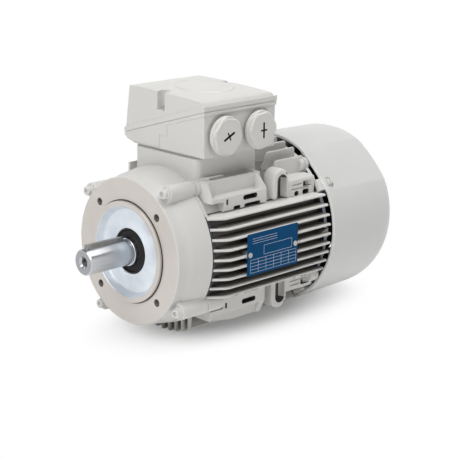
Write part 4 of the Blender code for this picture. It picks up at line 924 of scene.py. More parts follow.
@dataclass
class ShaftEnd:
    """Shaft with its key and seal."""

    radius: float = 14.0
    chamfer: float = 1.2
    ring_groove: Place = (-5.4, -4.0, 0.35)
    step: Point = (-2.4, -1.8)
    seat: float = 15.0
    shoulder: float = 19.0
    play: float = 0.3
    fan_seat: float = 12.5
    fan_seat_length: float = 27.2
    clip_groove: float = 1.0
    rear_chamfer: float = 0.8
    tap: float = 4.6
    tap_pitch: float = 1.25
    tap_depth: float = 20.0
    tap_thread: float = 0.35
    sink: float = 6.6
    sink_depth: float = 2.2
    key_ends: Point = (5.0, 55.0)
    key_width: float = 8.0
    key_height: Point = (0.2, 7.3)
    key_edge: float = 0.45
    key_play: float = 0.15
    key_lean: float = -10.0
    keyway: Point = (10.0, 20.0)
    seal_reach: float = 3.5
    seal_fit: float = 0.5

    def profile(self, start: float, end: float) -> Outline:
        """Draws the turned section of the shaft.

        Args:
            start: Where its drive end is.
            end: Where its fan end is.

        Returns:
            Profile with both ends on the axis.
        """
        bearing = span("drive_bearing_inner_ring")[1].x + self.play
        fan_bearing = span("fan_bearing_inner_ring")[0].x - self.play
        fan = span("fan")[0].x - self.fan_seat_length
        clip_low, clip_high = span("fan_clip")
        clip, clip_end = clip_low.x - self.play, clip_high.x + self.play
        r, chamfer, seat = self.radius, self.chamfer, self.fan_seat
        groove, groove_end, depth = self.ring_groove
        return [
            (start, 0), (start, r - chamfer), (start + 0.3, r - 0.7 * chamfer), (start + chamfer, r),
            (groove, r), (groove + 0.2, r - depth), (groove_end - 0.2, r - depth), (groove_end, r),
            (self.step[0], r), (self.step[1], self.seat),
            (bearing, self.seat), (bearing, self.shoulder),
            (fan_bearing, self.shoulder), (fan_bearing, self.seat),
            (fan, self.seat), (fan, seat), (clip, seat), (clip, seat - self.clip_groove),
            (clip_end, seat - self.clip_groove), (clip_end, seat),
            (end - self.rear_chamfer, seat), (end, seat - self.rear_chamfer), (end, 0),
        ]

    def build(self) -> None:
        """Builds shaft, key and seal."""
        low, high = span("shaft")
        start = low.x
        shaft = Solid().turn(self.profile(start, high.x))
        shaft.cut(Solid().turn(self.tapping(start), 64))
        lean = Matrix.Rotation(radians(self.key_lean), 4, "X")
        half = self.key_width / 2
        ends = ((start + self.key_ends[0] + half, 0), (start + self.key_ends[1] - half, 0))
        keyway = Solid().prism(stadium(*ends, half + self.key_play), *self.keyway, Plane.UP)
        shaft.cut(keyway.moved(lean))

        def surface(middle: Vector, normal: Vector) -> Material:
            """Picks the turned end, the painted shade of the centre hole or the ground steel for a face."""
            if middle.x < start + 0.1:
                return TURNED
            inside = hypot(middle.y, middle.z) < self.tap + 0.6
            return BORE if inside and start + 0.4 < middle.x < start + self.tap_depth + 6 else GROUND

        piece = Piece("turned_shaft", "bright_steel", ("shaft",), "rotor")
        piece.finish(shaft, GROUND, BORE, TURNED, pick=surface)
        under, top = (self.keyway[0] + height for height in self.key_height)
        key = Solid().prism(stadium(*ends, half), under, top, Plane.UP, self.key_edge)
        Piece("fitted_key", "bright_steel", ("shaft_key",), "rotor").finish(key.moved(lean), KEY_STEEL)
        self.seal()

    def tapping(self, start: float) -> Outline:
        """Draws the centre hole with its countersink and thread grooves.

        Args:
            start: Where the shaft's end face is.

        Returns:
            Profile of the hole's cutter.
        """
        tap, sink = self.tap, self.sink
        profile = [(start - 1, 0), (start - 1, sink), (start, sink), (start + self.sink_depth, tap + 0.5)]
        limits = (start + self.sink_depth + 0.2, start + self.tap_depth)
        grooves, along = thread(*limits, self.tap_pitch, tap, self.tap_thread)
        return profile + grooves + [(along, tap - 0.4), (along + 2.4, 0)]

    def seal(self) -> None:
        """Builds the shaft seal with its dust lip."""
        low, high = span("shaft_seal")
        x, outer, bore = low.x - self.seal_reach, high.y - self.seal_fit, self.seat + self.play
        profile = [
            (x + 0.5, outer), (high.x, outer), (high.x, bore), (x + 0.8, bore),
            (x - 0.6, bore + 0.3), (x - 0.8, bore + 1.0), (x + 0.7, bore + 2.2), (x + 1.6, bore + 3.4),
            (x + 1.6, outer - 2.2), (x + 0.6, outer - 1.6), (x, outer - 1.1), (x, outer - 0.5),
        ]
        Piece("seal_ring", "rubber", ("shaft_seal",)).finish(Solid().turn(profile), RUBBER)


@dataclass
class TieScrews:
    """Screws that hold the shields, with washer faces under their heads."""

    head: float = 5.0
    chamfer: float = 0.9
    washer: float = 6.4
    height: float = 6.0
    socket: float = 2.6
    socket_depth: float = 2.6
    shank: float = 3.0
    facets: int = 40

    def build(self) -> None:
        """Builds the screws of both shields."""
        for end, facing, finish in (("drive", -1, PAINT), ("fan", 1, ZINC)):
            low, high = span(f"{end}_shield_screw_1")
            seat, tip = (low.x + self.height, high.x) if facing < 0 else (high.x - self.height, low.x)
            top = seat + facing * self.height
            floor = top - facing * self.socket_depth
            profile = [
                (floor, 0), (floor, self.socket),
                (top - facing * 0.3, self.socket), (top, self.socket + 0.4),
                (top, self.head - self.chamfer), (top - facing * self.chamfer, self.head),
                (seat + facing * 1.5, self.head), (seat + facing * 1.3, self.washer - 0.3),
                (seat + facing * 0.9, self.washer), (seat, self.washer),
                (seat, self.shank), (tip, self.shank), (tip, 0),
            ]
            screw = Solid().turn(profile, self.facets)
            screws = repeated(RING, screw, finish, count=4, radius=TIE_RADIUS, phase=TIE_ANGLE)
            nodes = numbered(f"{end}_shield_screw", 4)
            Piece(f"{end}_tie_screws", "zinc_screw", nodes).finish(screws, finish)


@dataclass
class DriveShield:
    """Drive-end shield with face flange, spigot, tapped holes and screw lugs."""

    spigot: float = 55.0
    spigot_height: float = 3.5
    groove_depth: float = 0.9
    flange: float = 80.0
    edge: float = 1.6
    neck: tuple[Point, ...] = ((9.0, 0.0), (13.0, 0.5), (17.0, 1.9), (20.0, 2.6))
    rim: float = 86.0
    rim_edge: float = 0.8
    length: float = 43.0
    joint: Point = (49.0, 38.0)
    hollow: Point = (13.0, 35.0)
    bearing_stop: Point = (16.8, 19.0)
    seal_stop: float = 13.4
    recess: float = 6.0
    dish: tuple[Point, ...] = (
        (-3.2, 24.6), (-3.7, 25.2), (-3.4, 27.0), (-1.2, 31.0), (-0.3, 36.0), (-0.4, 42.0), (-1.4, 45.2),
    )
    mouth: float = 50.2
    bare: float = 49.5
    hole_radius: float = 65.0
    hole: float = 3.5
    hole_depth: float = 14.0
    hole_pitch: float = 1.2
    hole_thread: float = 0.3
    lug_start: float = 8.0
    cheek_start: float = 22.0
    cheek_edge: float = 4.0

    def profile(self) -> Outline:
        """Draws the turned section of the shield.

        Returns:
            Closed profile from the flange's edge round the outside and back through the inside.
        """
        flange, edge, spigot, height = self.flange, self.edge, self.spigot, self.spigot_height
        outside = [(0.0, flange - edge), *arc((edge, flange - edge), edge, 180, 90, 5)[1:]]
        outside += [(x, flange + rise) for x, rise in self.neck]
        outside += [(self.length - self.rim_edge, self.rim), (self.length, self.rim - self.rim_edge)]
        joint, joint_root = self.joint
        inside = [(self.length, JOINT_SEAT), (joint, JOINT_SEAT), (joint, JOINT_BORE)]
        hollow, hub_end = self.hollow
        inside += [(joint_root, JOINT_BORE), (joint_root, 77.0), (hollow, 74.0), (hollow, HUB)]
        stop, stop_bore = self.bearing_stop
        inside += [(hub_end, HUB), (hub_end, BEARING_SEAT), (stop, BEARING_SEAT), (stop, stop_bore)]
        inside += [(self.seal_stop, stop_bore), (self.seal_stop, self.dish[0][1])]
        floor = [(self.recess + rise, radius) for rise, radius in self.dish] + [(2.0, 47.2)]
        mouth = [(0.8 - height, self.mouth - 1.2), (0.2 - height, self.mouth - 0.6), (-height, self.mouth)]
        front = [(-height, spigot - 0.4), (-height + 0.4, spigot), (-0.6, spigot), (-0.2, spigot - 0.5)]
        front += [(self.groove_depth, spigot - 0.5), (self.groove_depth, spigot + 1.0), (0.0, spigot + 1.3)]
        return outside + inside + floor + mouth + front

    def holes(self) -> Solid:
        """Makes the cutters of the flange's four tapped holes.

        Returns:
            The cutters.
        """
        r = self.hole
        bore = [(-1.0, 0), (-1.0, r + 0.7), (0.0, r + 0.7), (0.5, r + 0.3)]
        grooves, along = thread(1.3, self.hole_depth, self.hole_pitch, r, self.hole_thread)
        bore += grooves + [(along, r - self.hole_thread), (along + 1.5, 0)]
        one = Solid().turn(bore, 32)
        return repeated(RING, one, FACED, count=4, radius=self.hole_radius, phase=pi / 4)

    def build(self) -> None:
        """Builds the shield."""
        shield = Solid().turn(self.profile(), FINEST)
        shield.add(tie_lugs((self.lug_start, self.length), PAINT))
        cheek = {"root": 70.0, "tip": TIE_RADIUS - 8, "radius": LUG + 1.5}
        shield.add(tie_lugs((self.cheek_start, self.length), PAINT, self.cheek_edge, **cheek))
        shield.cut(self.holes())

        def surface(middle: Vector, normal: Vector) -> Material:
            """Picks painted shade in holes and the groove, the faced flange, the bare recess or paint for a
            face.
            """
            radius = hypot(middle.y, middle.z)
            drilled = abs(radius - self.hole_radius) < 5.2 and abs(middle.y) > 35
            grooved = middle.x > -0.3 and abs(radius - self.spigot) < 1.8
            if grooved or drilled and 0.2 < middle.x < self.hole_depth + 3:
                return BORE
            if middle.x < 0.1 and self.bare < radius < self.flange - 1.0:
                return FACED
            return CAST if radius < self.bare and middle.x < self.recess + 1 else PAINT

        piece = Piece("flange_shield", "painted_casting", ("drive_end_shield",))
        piece.finish(shield, PAINT, FACED, CAST, BORE, pick=surface)


@dataclass
class StatorFrame:
    """Finned frame with corner pads, channel bosses and the pedestal of the terminal box."""

    bore: float = 76.0
    barrel: float = 83.0
    rim: float = 86.0
    reach: float = 99.0
    fin_count: int = 9
    fin_tip: float = 1.3
    fin_root: float = 2.3
    fin_depth: float = 20.0
    fin_edge: float = 2.6
    fin_ease: tuple[Point, ...] = (
        (0.0, 1.0), (0.6, 0.4), (0.8, 0.21), (0.95, 0.1), (1.1, 0.035), (1.3, 0.0),
    )
    overhang: float = 5.8
    overhang_depth: float = 11.5
    ramp: float = 14.0
    ramp_foot: float = 10.4
    fin_inset: Point = (0.6, 1.6)
    low_fin_front: float = 5.2
    top_fin_length: float = 52.0
    top_pitch: float = 13.5
    pitch: float = 10.645
    lug_ends: Place = (0.4, 22.0, 7.0)
    pad_front: float = 7.0
    pad_length: float = 82.0
    pad_side: float = 75.0
    pad_top: float = 78.0
    pad_low: float = 46.0
    trays: dict[int, Point] = field(default_factory=lambda: {1: (61.5, 65.0), -1: (65.5, 70.0)})
    fan_ledge: float = 64.6
    fan_low: float = 43.4
    fan_length: float = 44.0
    fan_grooves: tuple[Point, ...] = ((56.8, 21.5), (51.9, 9.5))
    boss_x: float = 154.3
    boss: float = 12.0
    channel: float = 7.4
    groove_x: float = 155.2
    groove_axis: float = 73.4
    lower_shift: float = 2.4
    far_setback: float = 6.0
    outside: float = 120.0
    pedestal: tuple[float, float, float, float] = (52.2, 143.5, 49.8, 100.0)
    plate_gap: float = 4.0

    def fin(self, start: float, end: float, ramp: float, foot: float, overhang: float = 0.0) -> Solid:
        """Makes one fin with its tip at y=0.

        Args:
            start: Front end along the shaft.
            end: Rear end.
            ramp: Length over which the tip rises at the front.
            foot: How far the tip lies back at the front end.
            overhang: How far the tip stands out past the rear end.

        Returns:
            The fin.
        """
        tip, depth, over_depth = self.fin_tip, self.fin_depth, self.overhang_depth
        edge = tip + 0.9 * self.fin_edge / depth
        deep = tip + (self.fin_root - tip) * over_depth / depth
        half = [(-self.fin_edge, edge), (-over_depth, deep), (-depth, self.fin_root)]
        section = [(y, -z) for y, z in reversed(half)] + arc((-tip, 0), tip, -80, 80, 6) + half
        stations = [(start + ramp * place, foot * share, 0.0) for place, share in self.fin_ease]
        stations += [(end - 1.0, 0.0, overhang), (end, 1.0, overhang)]
        rings = []
        for x, back, over in stations:
            leans = [over * max(1 + y / over_depth, 0.0) for y, _ in section]
            places = zip(leans, section)
            rings.append([Vector((x + lean, y - back * (y > -depth), z)) for lean, (y, z) in places])
        return Solid().skin(rings, caps=True)

    def drive_pads(self, start: float, end: float, row: int) -> Solid:
        """Makes two corner pads of the drive end: a tray on a thick foot, open below its front half.

        Args:
            start: Front of the pads.
            end: Rear of the pads.
            row: 1 for the upper pads, -1 for the lower ones.

        Returns:
            The two pads.
        """
        side, top, far = self.pad_side, self.pad_top, self.outside
        ledge, wall = self.trays[row]
        corners = [(62.0, self.pad_low), (side, self.pad_low), (side, ledge), (wall, ledge + 0.8)]
        corners += [(wall - 0.6, top), (50.0, top + 1.0), (47.0, 66.0)]
        pad = Solid().prism(rounded(corners, 1.2, 3), start, end, Plane.ALONG, 0.8)
        pad.cut(Solid().block((start - 5, 61.0, 40.0), (start + 18.0, 90.0, ledge - 4.6), 1.2))
        if row > 0:
            pad.cut(Solid().block((start + 5.0, 50.5, 68.0), (end - 5.0, wall - 3.6, 90.0), 1.0))
            pad.add(Solid().block((start + 13.0, 52.5, 60.0), (start + 35.0, 57.0, top + 2.0), 0.8))
        face = side - 0.4
        section = [(60.0, ledge - 2), (face, ledge - 2), (face, ledge), (wall + 1.0, top), (60.0, top)]
        section = rounded(section, 0.8, 2)
        braces = Solid().prism(section, start, start + 3.2, Plane.ALONG, 0.6)
        braces.put(Solid().prism(section, end - 9.0, end, Plane.ALONG, 0.6).baked())
        slope = [(end - 5.5, top + 1), (end + 0.5, ledge - 1), (end + 9.0, ledge - 1), (end + 9.0, top + 1)]
        pad.add(braces.cut(Solid().prism(slope, -far, 20, Plane.SIDE)))
        if row < 0:
            front, rear, above = start - 1, start + 44, top + 9
            taper = [(front, top - 6.2), (rear, top + 1.2), (rear, above), (front, above)]
            pad.cut(Solid().prism(taper, -far, 20, Plane.SIDE))
        setback = Solid().block((start - 5, 40.0, -far), (start + self.far_setback, far, far))
        return pad.pair(row).cut(setback)

    def fan_pads(self, start: float, end: float) -> Solid:
        """Makes the corner pads of the fan end, with rounded ends, two fine grooves and a ramped pocket.

        Args:
            start: Front of the pads.
            end: Rear of the pads.

        Returns:
            Four pads.
        """
        side, low, top = self.pad_side, self.fan_low, self.fan_ledge
        corners = [(56.0, low), (side, low), (side, top - 0.8), (50.0, top + 0.8), (50.0, 56.0)]
        pad = Solid().prism(rounded(corners, 2.4, 5), start, end, Plane.ALONG, 2.0)
        for height, rear in self.fan_grooves:
            low_corner, high_corner = (end - 38.0, side - 1.6, height), (end - rear, side + 5, height + 1.7)
            pad.cut(Solid().block(low_corner, high_corner, 0.3))
        x0, x1, z0, z1 = self.ramped_pocket(end)
        ramp = [(x0, side - 10.0), (x0, side + 9), (x1 + 1.0, side + 9), (x1, side), (x0 + 7.5, side - 4.0)]
        ramp.append((x0 + 3.0, side - 10.0))
        pad.cut(Solid().prism(ramp, z0, z1, Plane.UP))
        return pad.corners()

    def bosses(self) -> Solid:
        """Makes the arched bosses between the pads, each with an upright round groove.

        Returns:
            Four bosses.
        """
        x, r, foot, top = self.boss_x, self.boss, self.pad_low, self.pad_top + 1.0
        outline = [(x + r, foot), *arc((x, top - r), r, 0, 180, 16), (x - r, foot)]
        boss = Solid().prism(outline, -self.pad_side - 0.8, -58.0, Plane.SIDE).bevel(3.0, 50, 4)
        c, crown, below = self.channel, top - 6.0, foot - 9.0
        profile = [(below, 0), (below, c), *arc((crown - c, 0), c, 90, 0, 10)[:-1], (crown, 0)]
        upright = Matrix.Translation((self.groove_x, self.groove_axis, 0)) @ TO_TOP
        groove = Solid().turn(profile, 48).moved(upright)
        middle = self.groove_x
        mouth = [(middle + c, below), *arc((middle, crown - c), c, 0, 180, 20), (middle - c, below)]
        groove.add(Solid().prism(mouth, -self.pad_side - 9.0, -self.groove_axis, Plane.SIDE))
        return boss.cut(groove).corners()

    def rim_lugs(self, end: float) -> Solid:
        """Makes the wedge on each middle side fin that the cowl's rim is seated on.

        Args:
            end: Rear of the frame.

        Returns:
            The two wedges.
        """
        outline = [(end - 13.0, 0.4), (end + 3.6, 6.4), (end + 3.6, -4.6)]
        wedge = Solid().prism(outline, 84.0, 93.6, Plane.SIDE).bevel(0.6)
        return wedge.put(wedge.copy().moved(Matrix.Rotation(pi, 4, "X")).baked())

    def slots(self, start: float, end: float) -> Solid:
        """Makes the cutters for the plain pockets in the pads' side faces.

        Args:
            start: Front of the drive pads.
            end: Rear of the frame.

        Returns:
            Cutters for the four corners.
        """
        cutters = Solid()
        for row in (1, -1):
            for first, last, low, high in self.pockets(start, end, row):
                below, above = sorted((row * low, row * high))
                rounding = min(2.4, 0.45 * (high - low), 0.45 * (last - first))
                outline = rounded(rectangle((first, below), (last, above)), rounding)
                for near, far in ((-90.0, -66.0), (66.0, 90.0)):
                    cutters.put(Solid().prism(outline, near, far, Plane.SIDE).baked())
        return cutters

    def fins(self, start: float, end: float) -> list[Solid]:
        """Makes the rows of fins on both sides, below and above.

        Args:
            start: Front of the frame.
            end: Rear of the frame.

        Returns:
            The rows, in the order in which they are added.
        """
        front, rear = start + self.fin_inset[0], end - self.fin_inset[1]
        side = self.fin(front, rear, self.ramp, self.ramp_foot, self.overhang)
        low = self.fin(start + self.low_fin_front, rear, 2.0, 1.0, self.overhang)
        top = self.fin(end - self.top_fin_length, end, 8.0, 17.0)
        rows = (
            (side.copy(), self.pitch, self.reach - 1.0, 0.0),
            (side, self.pitch, self.reach - 1.0, pi),
            (low, self.pitch, self.reach - 0.5, -pi / 2),
            (top, self.top_pitch, self.reach, pi / 2),
        )
        return [
            repeated(FINS, fin, PAINT, count=self.fin_count, pitch=pitch, reach=reach, turn=turn)
            for fin, pitch, reach, turn in rows
        ]

    def build(self) -> None:
        """Builds the frame."""
        low, high = span("stator_frame")
        start, end = low.x, high.x
        b, rim = self.barrel, self.rim
        profile = [(start, self.bore), (start, rim - 0.7), (start + 0.7, rim), (start + 3.6, rim)]
        profile += [(start + 4.6, b + 0.8), (start + 5.6, b), (end, b), (end, self.bore)]
        body = Solid().turn(profile, FINEST)
        for row_of_fins in self.fins(start, end):
            body.add(row_of_fins)
        front, front_end, rear_length = self.lug_ends
        for ends in ((start + front, start + front_end), (end - rear_length, end)):
            body.add(tie_lugs(ends, PAINT))
        pad_start = start + self.pad_front
        for row in (1, -1):
            body.add(self.drive_pads(pad_start, pad_start + self.pad_length, row))
        body.add(self.fan_pads(end - self.fan_length, end - 0.4))
        body.add(self.bosses())
        body.add(self.rim_lugs(end))
        x0, x1, half, top = self.pedestal
        outline = rounded(rectangle((x0, -half), (x1, half)), 8.0, 8)
        body.add(Solid().prism(outline, 50.0, top, Plane.UP, 1.0))
        plate_low, plate_high = span("rating_plate")
        gap = self.plate_gap
        low_corner = (plate_low.x - gap, -self.outside, plate_low.z - gap)
        body.cut(Solid().block(low_corner, (plate_high.x + gap, plate_high.y + 0.3, plate_high.z + gap)))
        body.add(self.plate_studs(plate_low, plate_high))
        body.cut(self.slots(pad_start, end))

        def surface(middle: Vector, normal: Vector) -> Material:
            """Picks plain paint or painted shade: between fins, in pockets and grooves, deepest behind the
            rim.
            """
            side, height = abs(middle.y), abs(middle.z)
            lit = normal.x < -0.3 and side > self.pad_side - 3.0
            # Pockets and the shaded side of grooves get painted shade; faces turned to the key lamp keep
            # paint.
            if self.in_groove(middle, normal) or not lit and self.in_pocket(middle, pad_start, end):
                return POCKET_SHADE
            along, radius = middle.x - start - self.fin_inset[0], hypot(side, height)
            floor = radius < self.rim + 0.3
            if height < 4.1 * self.pitch and side > 60:
                if floor:
                    # The barrel just behind the shield's rim gets the deepest painted shadow.
                    return DEEP_SHADE if along < 5.0 else FIN_SHADE
                shaded = self.between(along, side, middle.z, self.reach - 1.0)
            elif middle.z < -60 and side < 46.0 and along > 60:
                shaded = floor or self.between(self.ramp, height, middle.y, self.reach - 0.5)
            else:
                shaded = middle.z > 60 and radius < self.barrel + 0.6 and middle.x > self.pedestal[1]
            return FIN_SHADE if shaded else PAINT

        piece = Piece("finned_frame", "painted_casting", ("stator_frame",))
        piece.finish(body, PAINT, FIN_SHADE, POCKET_SHADE, DEEP_SHADE, pick=surface)

    def between(self, along: float, out: float, across: float, reach: float) -> bool:
        """Tells whether a place lies between fins rather than on a tip.

        Args:
            along: Distance behind the fins' front ends.
            out: Distance from the shaft axis in the fins' direction.
            across: Place across the row of fins.
            reach: Radius of the circle that the tips follow.

        Returns:
            Whether it lies between the fins.
        """
        fin = round(across / self.pitch) * self.pitch
        foot = self.ramp_foot * max(1 - along / self.ramp, 0.0)
        return sqrt(reach * reach - fin * fin) - foot - out > self.fin_edge

    def ramped_pocket(self, end: float) -> tuple[float, float, float, float]:
        """Place of a fan pad's ramped pocket: first and last along the shaft, inner and outer height."""
        return (end - 19.5, end - 4.5, 54.0, 59.8)

    def pockets(self, start: float, end: float, row: int) -> tuple[tuple[float, float, float, float], ...]:
        """Lists the plain pockets in the pads' side faces.

        Args:
            start: Front of the drive pads.
            end: Rear of the frame.
            row: 1 for the upper pads, -1 for the lower ones.

        Returns:
            First and last place along the shaft, inner and outer height of each pocket.
        """
        down = self.lower_shift if row < 0 else 0.0
        return (
            (start + 46.3, start + 67.1, 54.0 + down, 59.5 + down),
            (start + 21.3, start + 23.9, 52.5 + down, 59.0 + down),
            (start + 32.0, start + 42.0, 45.4, 50.0),
            (start + 48.0, start + 72.0, 45.4, 50.0),
            (end - 33.6, end - 27.0, 44.9, 50.3),
            (end - 20.6, end - 10.6, 44.9, 50.6),
        )

    def in_groove(self, place: Vector, normal: Vector) -> bool:
        """Tells whether a face lies on the shaded side of a boss's groove."""
        height = abs(place.z)
        inside = abs(place.x - self.groove_x) < self.channel + 0.05 and self.pad_low - 1 < height < 74.0
        shaded = normal.x > -0.72 or normal.z * place.z < -0.35 * height
        return inside and shaded and 60.0 < abs(place.y) < self.pad_side + 0.7

    def in_pocket(self, place: Vector, start: float, end: float) -> bool:
        """Tells whether a place lies inside a pocket of a pad."""
        side, height, play = abs(place.y), abs(place.z), 0.1
        if side > self.pad_side - 0.2 or side < self.pad_side - 9.5:
            return False
        spots = (*self.pockets(start, end, 1 if place.z > 0 else -1), self.ramped_pocket(end))
        return any(
            x0 - play < place.x < x1 + play and z0 - play < height < z1 + play for x0, x1, z0, z1 in spots
        )

    def plate_studs(self, low: Vector, high: Vector) -> Solid:
        """Makes the two studs that the rating plate is riveted to.

        Args:
            low: Lowest corner of the plate.
            high: Highest corner of the plate.

        Returns:
            The studs.
        """
        outline = arc((low.x + self.plate_gap, 0), 5.0, 0, 350, 24)
        stud = Solid().prism(outline, 80.0, -high.y - 0.3, Plane.SIDE)
        return repeated(ROW, stud, PAINT, count=2, step=(high.x - low.x - 2 * self.plate_gap, 0.0, 0.0))


@dataclass
class FanEnd:
    """Fan-end shield, fan wheel and cowl."""

    rim: float = 91.0
    rim_gap: float = 0.3
    plate: float = 4.8
    stem: float = 42.0
    hub_length: float = 24.1
    bearing_depth: float = 20.5
    shaft_hole: float = 15.6
    arm: Place = (79.0, 94.8, 7.0)
    rib: tuple[float, float, float, float] = (36.0, 84.0, 2.2, 11.0)
    spokes: int = 8
    bare_half: float = 44.0
    wheel_bore: float = 12.8
    wheel: float = 62.0
    blade_root: float = 18.0
    blade_half: float = 1.25
    wall: float = 2.5
    taper: float = 1.8
    rounding: float = 33.0
    rear_drop: float = 26.0
    facets: int = 240
    crease: Point = (27.75, 63.75)
    crease_angle: float = 6.4
    flat_front: float = 0.6
    flat_rear: float = 1.0
    fixing: float = radians(56.25)
    slot: Point = (2.4, 4.4)
    rim_setback: float = 1.9
    rim_length: float = 3.0
    grille_slot: float = 3.4
    grille_bar: float = 4.5
    grille_start: float = 18.0
    grille_rings: int = 3
    screw_seat: float = 95.6
    screw_head: float = 4.1
    screw_shank: Point = (2.0, 10.0)

    def shield(self) -> None:
        """Builds the fan-end shield with its lugs, cowl arms and ribs."""
        low, high = span("fan_end_shield")
        start, rim = span("stator_frame")[1].x + self.rim_gap, self.rim
        profile = [(start, rim - 0.6), (start + 0.6, rim), (start + 4.2, rim), (start + self.plate, rim - 1)]
        profile += [(start + self.plate, self.stem), (start + 6, 39.6), (start + 10.0, HUB)]
        hub, depth = start + self.hub_length, start + self.bearing_depth
        profile += [(start + 23.0, HUB), (hub, 37.2), (hub, self.shaft_hole), (depth, self.shaft_hole)]
        profile += [(depth, BEARING_SEAT)]
        profile += [(start, BEARING_SEAT), (start, JOINT_BORE), (low.x, JOINT_BORE), (low.x, JOINT_SEAT)]
        body = Solid().turn(profile + [(start, JOINT_SEAT)])
        body.add(tie_lugs((start, start + self.plate), DEEP_SHADE, 0.8))
        inner, outer, half = self.arm
        arm = Solid().block((start, inner, -half), (high.x, outer, half), 1.0)
        body.add(repeated(RING, arm, DEEP_SHADE, count=4, phase=self.fixing))
        inner, outer, half, height = self.rib
        rib = Solid().block((start + 3, inner, -half), (start + height, outer, half), 0.8)
        body.add(repeated(RING, rib, DEEP_SHADE, count=self.spokes, phase=pi / self.spokes))

        def surface(middle: Vector, normal: Vector) -> Material:
            """Picks the shield's painted shade, the bare rim or the paint of lugs and arms for a face."""
            radius = hypot(middle.y, middle.z)
            if radius < rim - 7.0:
                return DEEP_SHADE
            return BARE if radius < rim + 0.4 and abs(middle.z) < self.bare_half else PAINT

        piece = Piece("rear_shield", "painted_casting", ("fan_end_shield",))
        piece.finish(body, DEEP_SHADE, PAINT, BARE, pick=surface)

    def fan_wheel(self) -> None:
        """Builds the fan wheel with its straight blades."""
        low, high = span("fan")
        x, end, rim, bore = low.x, high.x, self.wheel, self.wheel_bore
        profile = [(x, bore), (x, rim - 0.6), (x + 0.6, rim), (x + 2.4, rim), (x + 3.0, rim - 0.6)]
        profile += [(x + 3.4, 26.0), (x + 5.0, 23.0), (end - 1.0, 21.8), (end, 20.8), (end, bore)]
        body = Solid().turn(profile)
        corners = [(x + 1.5, self.blade_root), (x + 1.5, 79.0), (x + 5.0, high.y), (end - 6.0, high.y)]
        corners += [(end - 3.0, 78.0), (end - 3.0, self.blade_root)]
        blade = Solid().prism(rounded(corners, 2.0), -self.blade_half, self.blade_half, Plane.UP, 0.5)
        body.add(repeated(RING, blade, BLACK, count=self.spokes, phase=pi / self.spokes))
        Piece("fan_wheel", "black_plastic", ("fan",), "rotor").finish(body, BLACK)

    def ring(self, x: float, radius: float, flat: float) -> list[Vector]:
        """Draws one section of the cowl.

        Args:
            x: Place along the shaft.
            radius: Radius of the round stretches.
            flat: How far the two upper facets are pulled in to their chords, from 0 to 1.

        Returns:
            Points of the section.
        """
        points = []
        low, high = self.crease
        middle, half = (low + high) / 2, radians(high - low) / 2
        for i in range(self.facets):
            angle = 360 * i / self.facets
            folded = degrees(acos(abs(cos(radians(angle)))))
            chord = radius
            if low < folded < high and angle < 180:
                chord = radius * cos(half) / cos(radians(folded - middle))
            out, turn = radius - flat * (radius - chord), radians(angle)
            points.append(Vector((x, out * cos(turn), out * sin(turn))))
        return points

    def cowl_lines(self, start: float, end: float, radius: float) -> tuple[Outline, Outline]:
        """Draws the cowl's wall.

        Args:
            start: Where its rim is.
            end: Where its rear face is.
            radius: Radius of its rim.

        Returns:
            Outer and inner line of (along, radius), from the rim to the rear face.
        """
        side_end, rear, front = end - self.rounding, radius - self.taper, start + self.rim_length
        outer: Outline = [(start, radius - 0.5), (start + 0.5, radius), (front, radius)]
        length = side_end - start - self.rim_length
        outer += [(front + length * i / 8, radius - self.taper * i / 8) for i in range(1, 9)]
        outer += [
            (side_end + self.rounding * sin(a), rear - self.rear_drop * (1 - cos(a)))
            for a in (radians(5 * i) for i in range(1, 19))
        ]
        inside = []
        for (x, r), before, after in zip(outer, [outer[0], *outer], [*outer[1:], outer[-1]]):
            way = Vector(after) - Vector(before)
            out = Vector((-way.y, way.x)).normalized() if x > front + 0.1 else Vector((0, 1))
            inside.append((x - self.wall * out.x, r - self.wall * out.y))
        inside[-1] = (end - self.wall, outer[-1][1])
        return outer, inside

    def cowl(self) -> None:
        """Builds the cowl with its rim, facets, fixing slots and grille."""
        low, high = span("fan_cowl")
        start, end = low.x + self.rim_setback, high.x
        outer, inside = self.cowl_lines(start, end, high.y)

        def flat(x: float) -> float:
            """How far the facets are pulled in at a place along the cowl."""
            share = clamped((x - start) / (end - self.rounding - start))
            fade = clamped((end - x) / self.rounding)
            return (self.flat_front + (self.flat_rear - self.flat_front) * share) * fade ** 0.5

        rings = [[Vector((end, 0, 0))], self.ring(end, outer[-1][1] * 0.5, 0.0)]
        rings += [self.ring(x, r, flat(x)) for x, r in [*reversed(outer), *inside]]
        rings += [[Vector((end - self.wall, 0, 0))]]
        body = Solid().skin(rings)
        self.grille(body, end, outer[-1][1])
        screw_x = middle_x("cowl_screw_1")
        reach, radius = self.slot
        hole = Solid().prism(stadium((screw_x, -reach), (screw_x, reach), radius), 60.0, 140.0, Plane.UP)
        hole.moved(Matrix.Rotation(-pi / 2, 4, "X"))
        body.cut(repeated(RING, hole, SHEET_PAINT, count=4, phase=self.fixing))

        def surface(middle: Vector, normal: Vector) -> Material:
            """Picks the painted highlight of the rim's edge or the plain paint for a face."""
            return RIM_HIGHLIGHT if normal.x < -0.3 and middle.x < start + 1.5 else SHEET_PAINT

        piece = Piece("cowl_shell", "painted_sheet", ("fan_cowl",))
        crease = radians(self.crease_angle)
        piece.finish(body, SHEET_PAINT, RIM_HIGHLIGHT, pick=surface, sharp=crease)
        self.cowl_screws(screw_x)

    def grille(self, body: Solid, end: float, edge: float) -> None:
        """Cuts the rings of air slots into the cowl's rear face.

        Args:
            body: The cowl.
            end: Where its rear face is.
            edge: Radius of the flat rear face.
        """
        half = self.grille_slot
        length = (edge - 2.0 - self.grille_start) / self.grille_rings
        for number in range(self.grille_rings):
            inner = self.grille_start + number * length + half
            outer = inner + length - self.grille_bar - 2 * half
            slot = Solid().prism(stadium((inner, 0.0), (outer, 0.0), half), end - 9, end + 9, Plane.ALONG)
            body.cut(repeated(RING, slot, SHEET_PAINT, count=9 * (number + 1), phase=0.0))

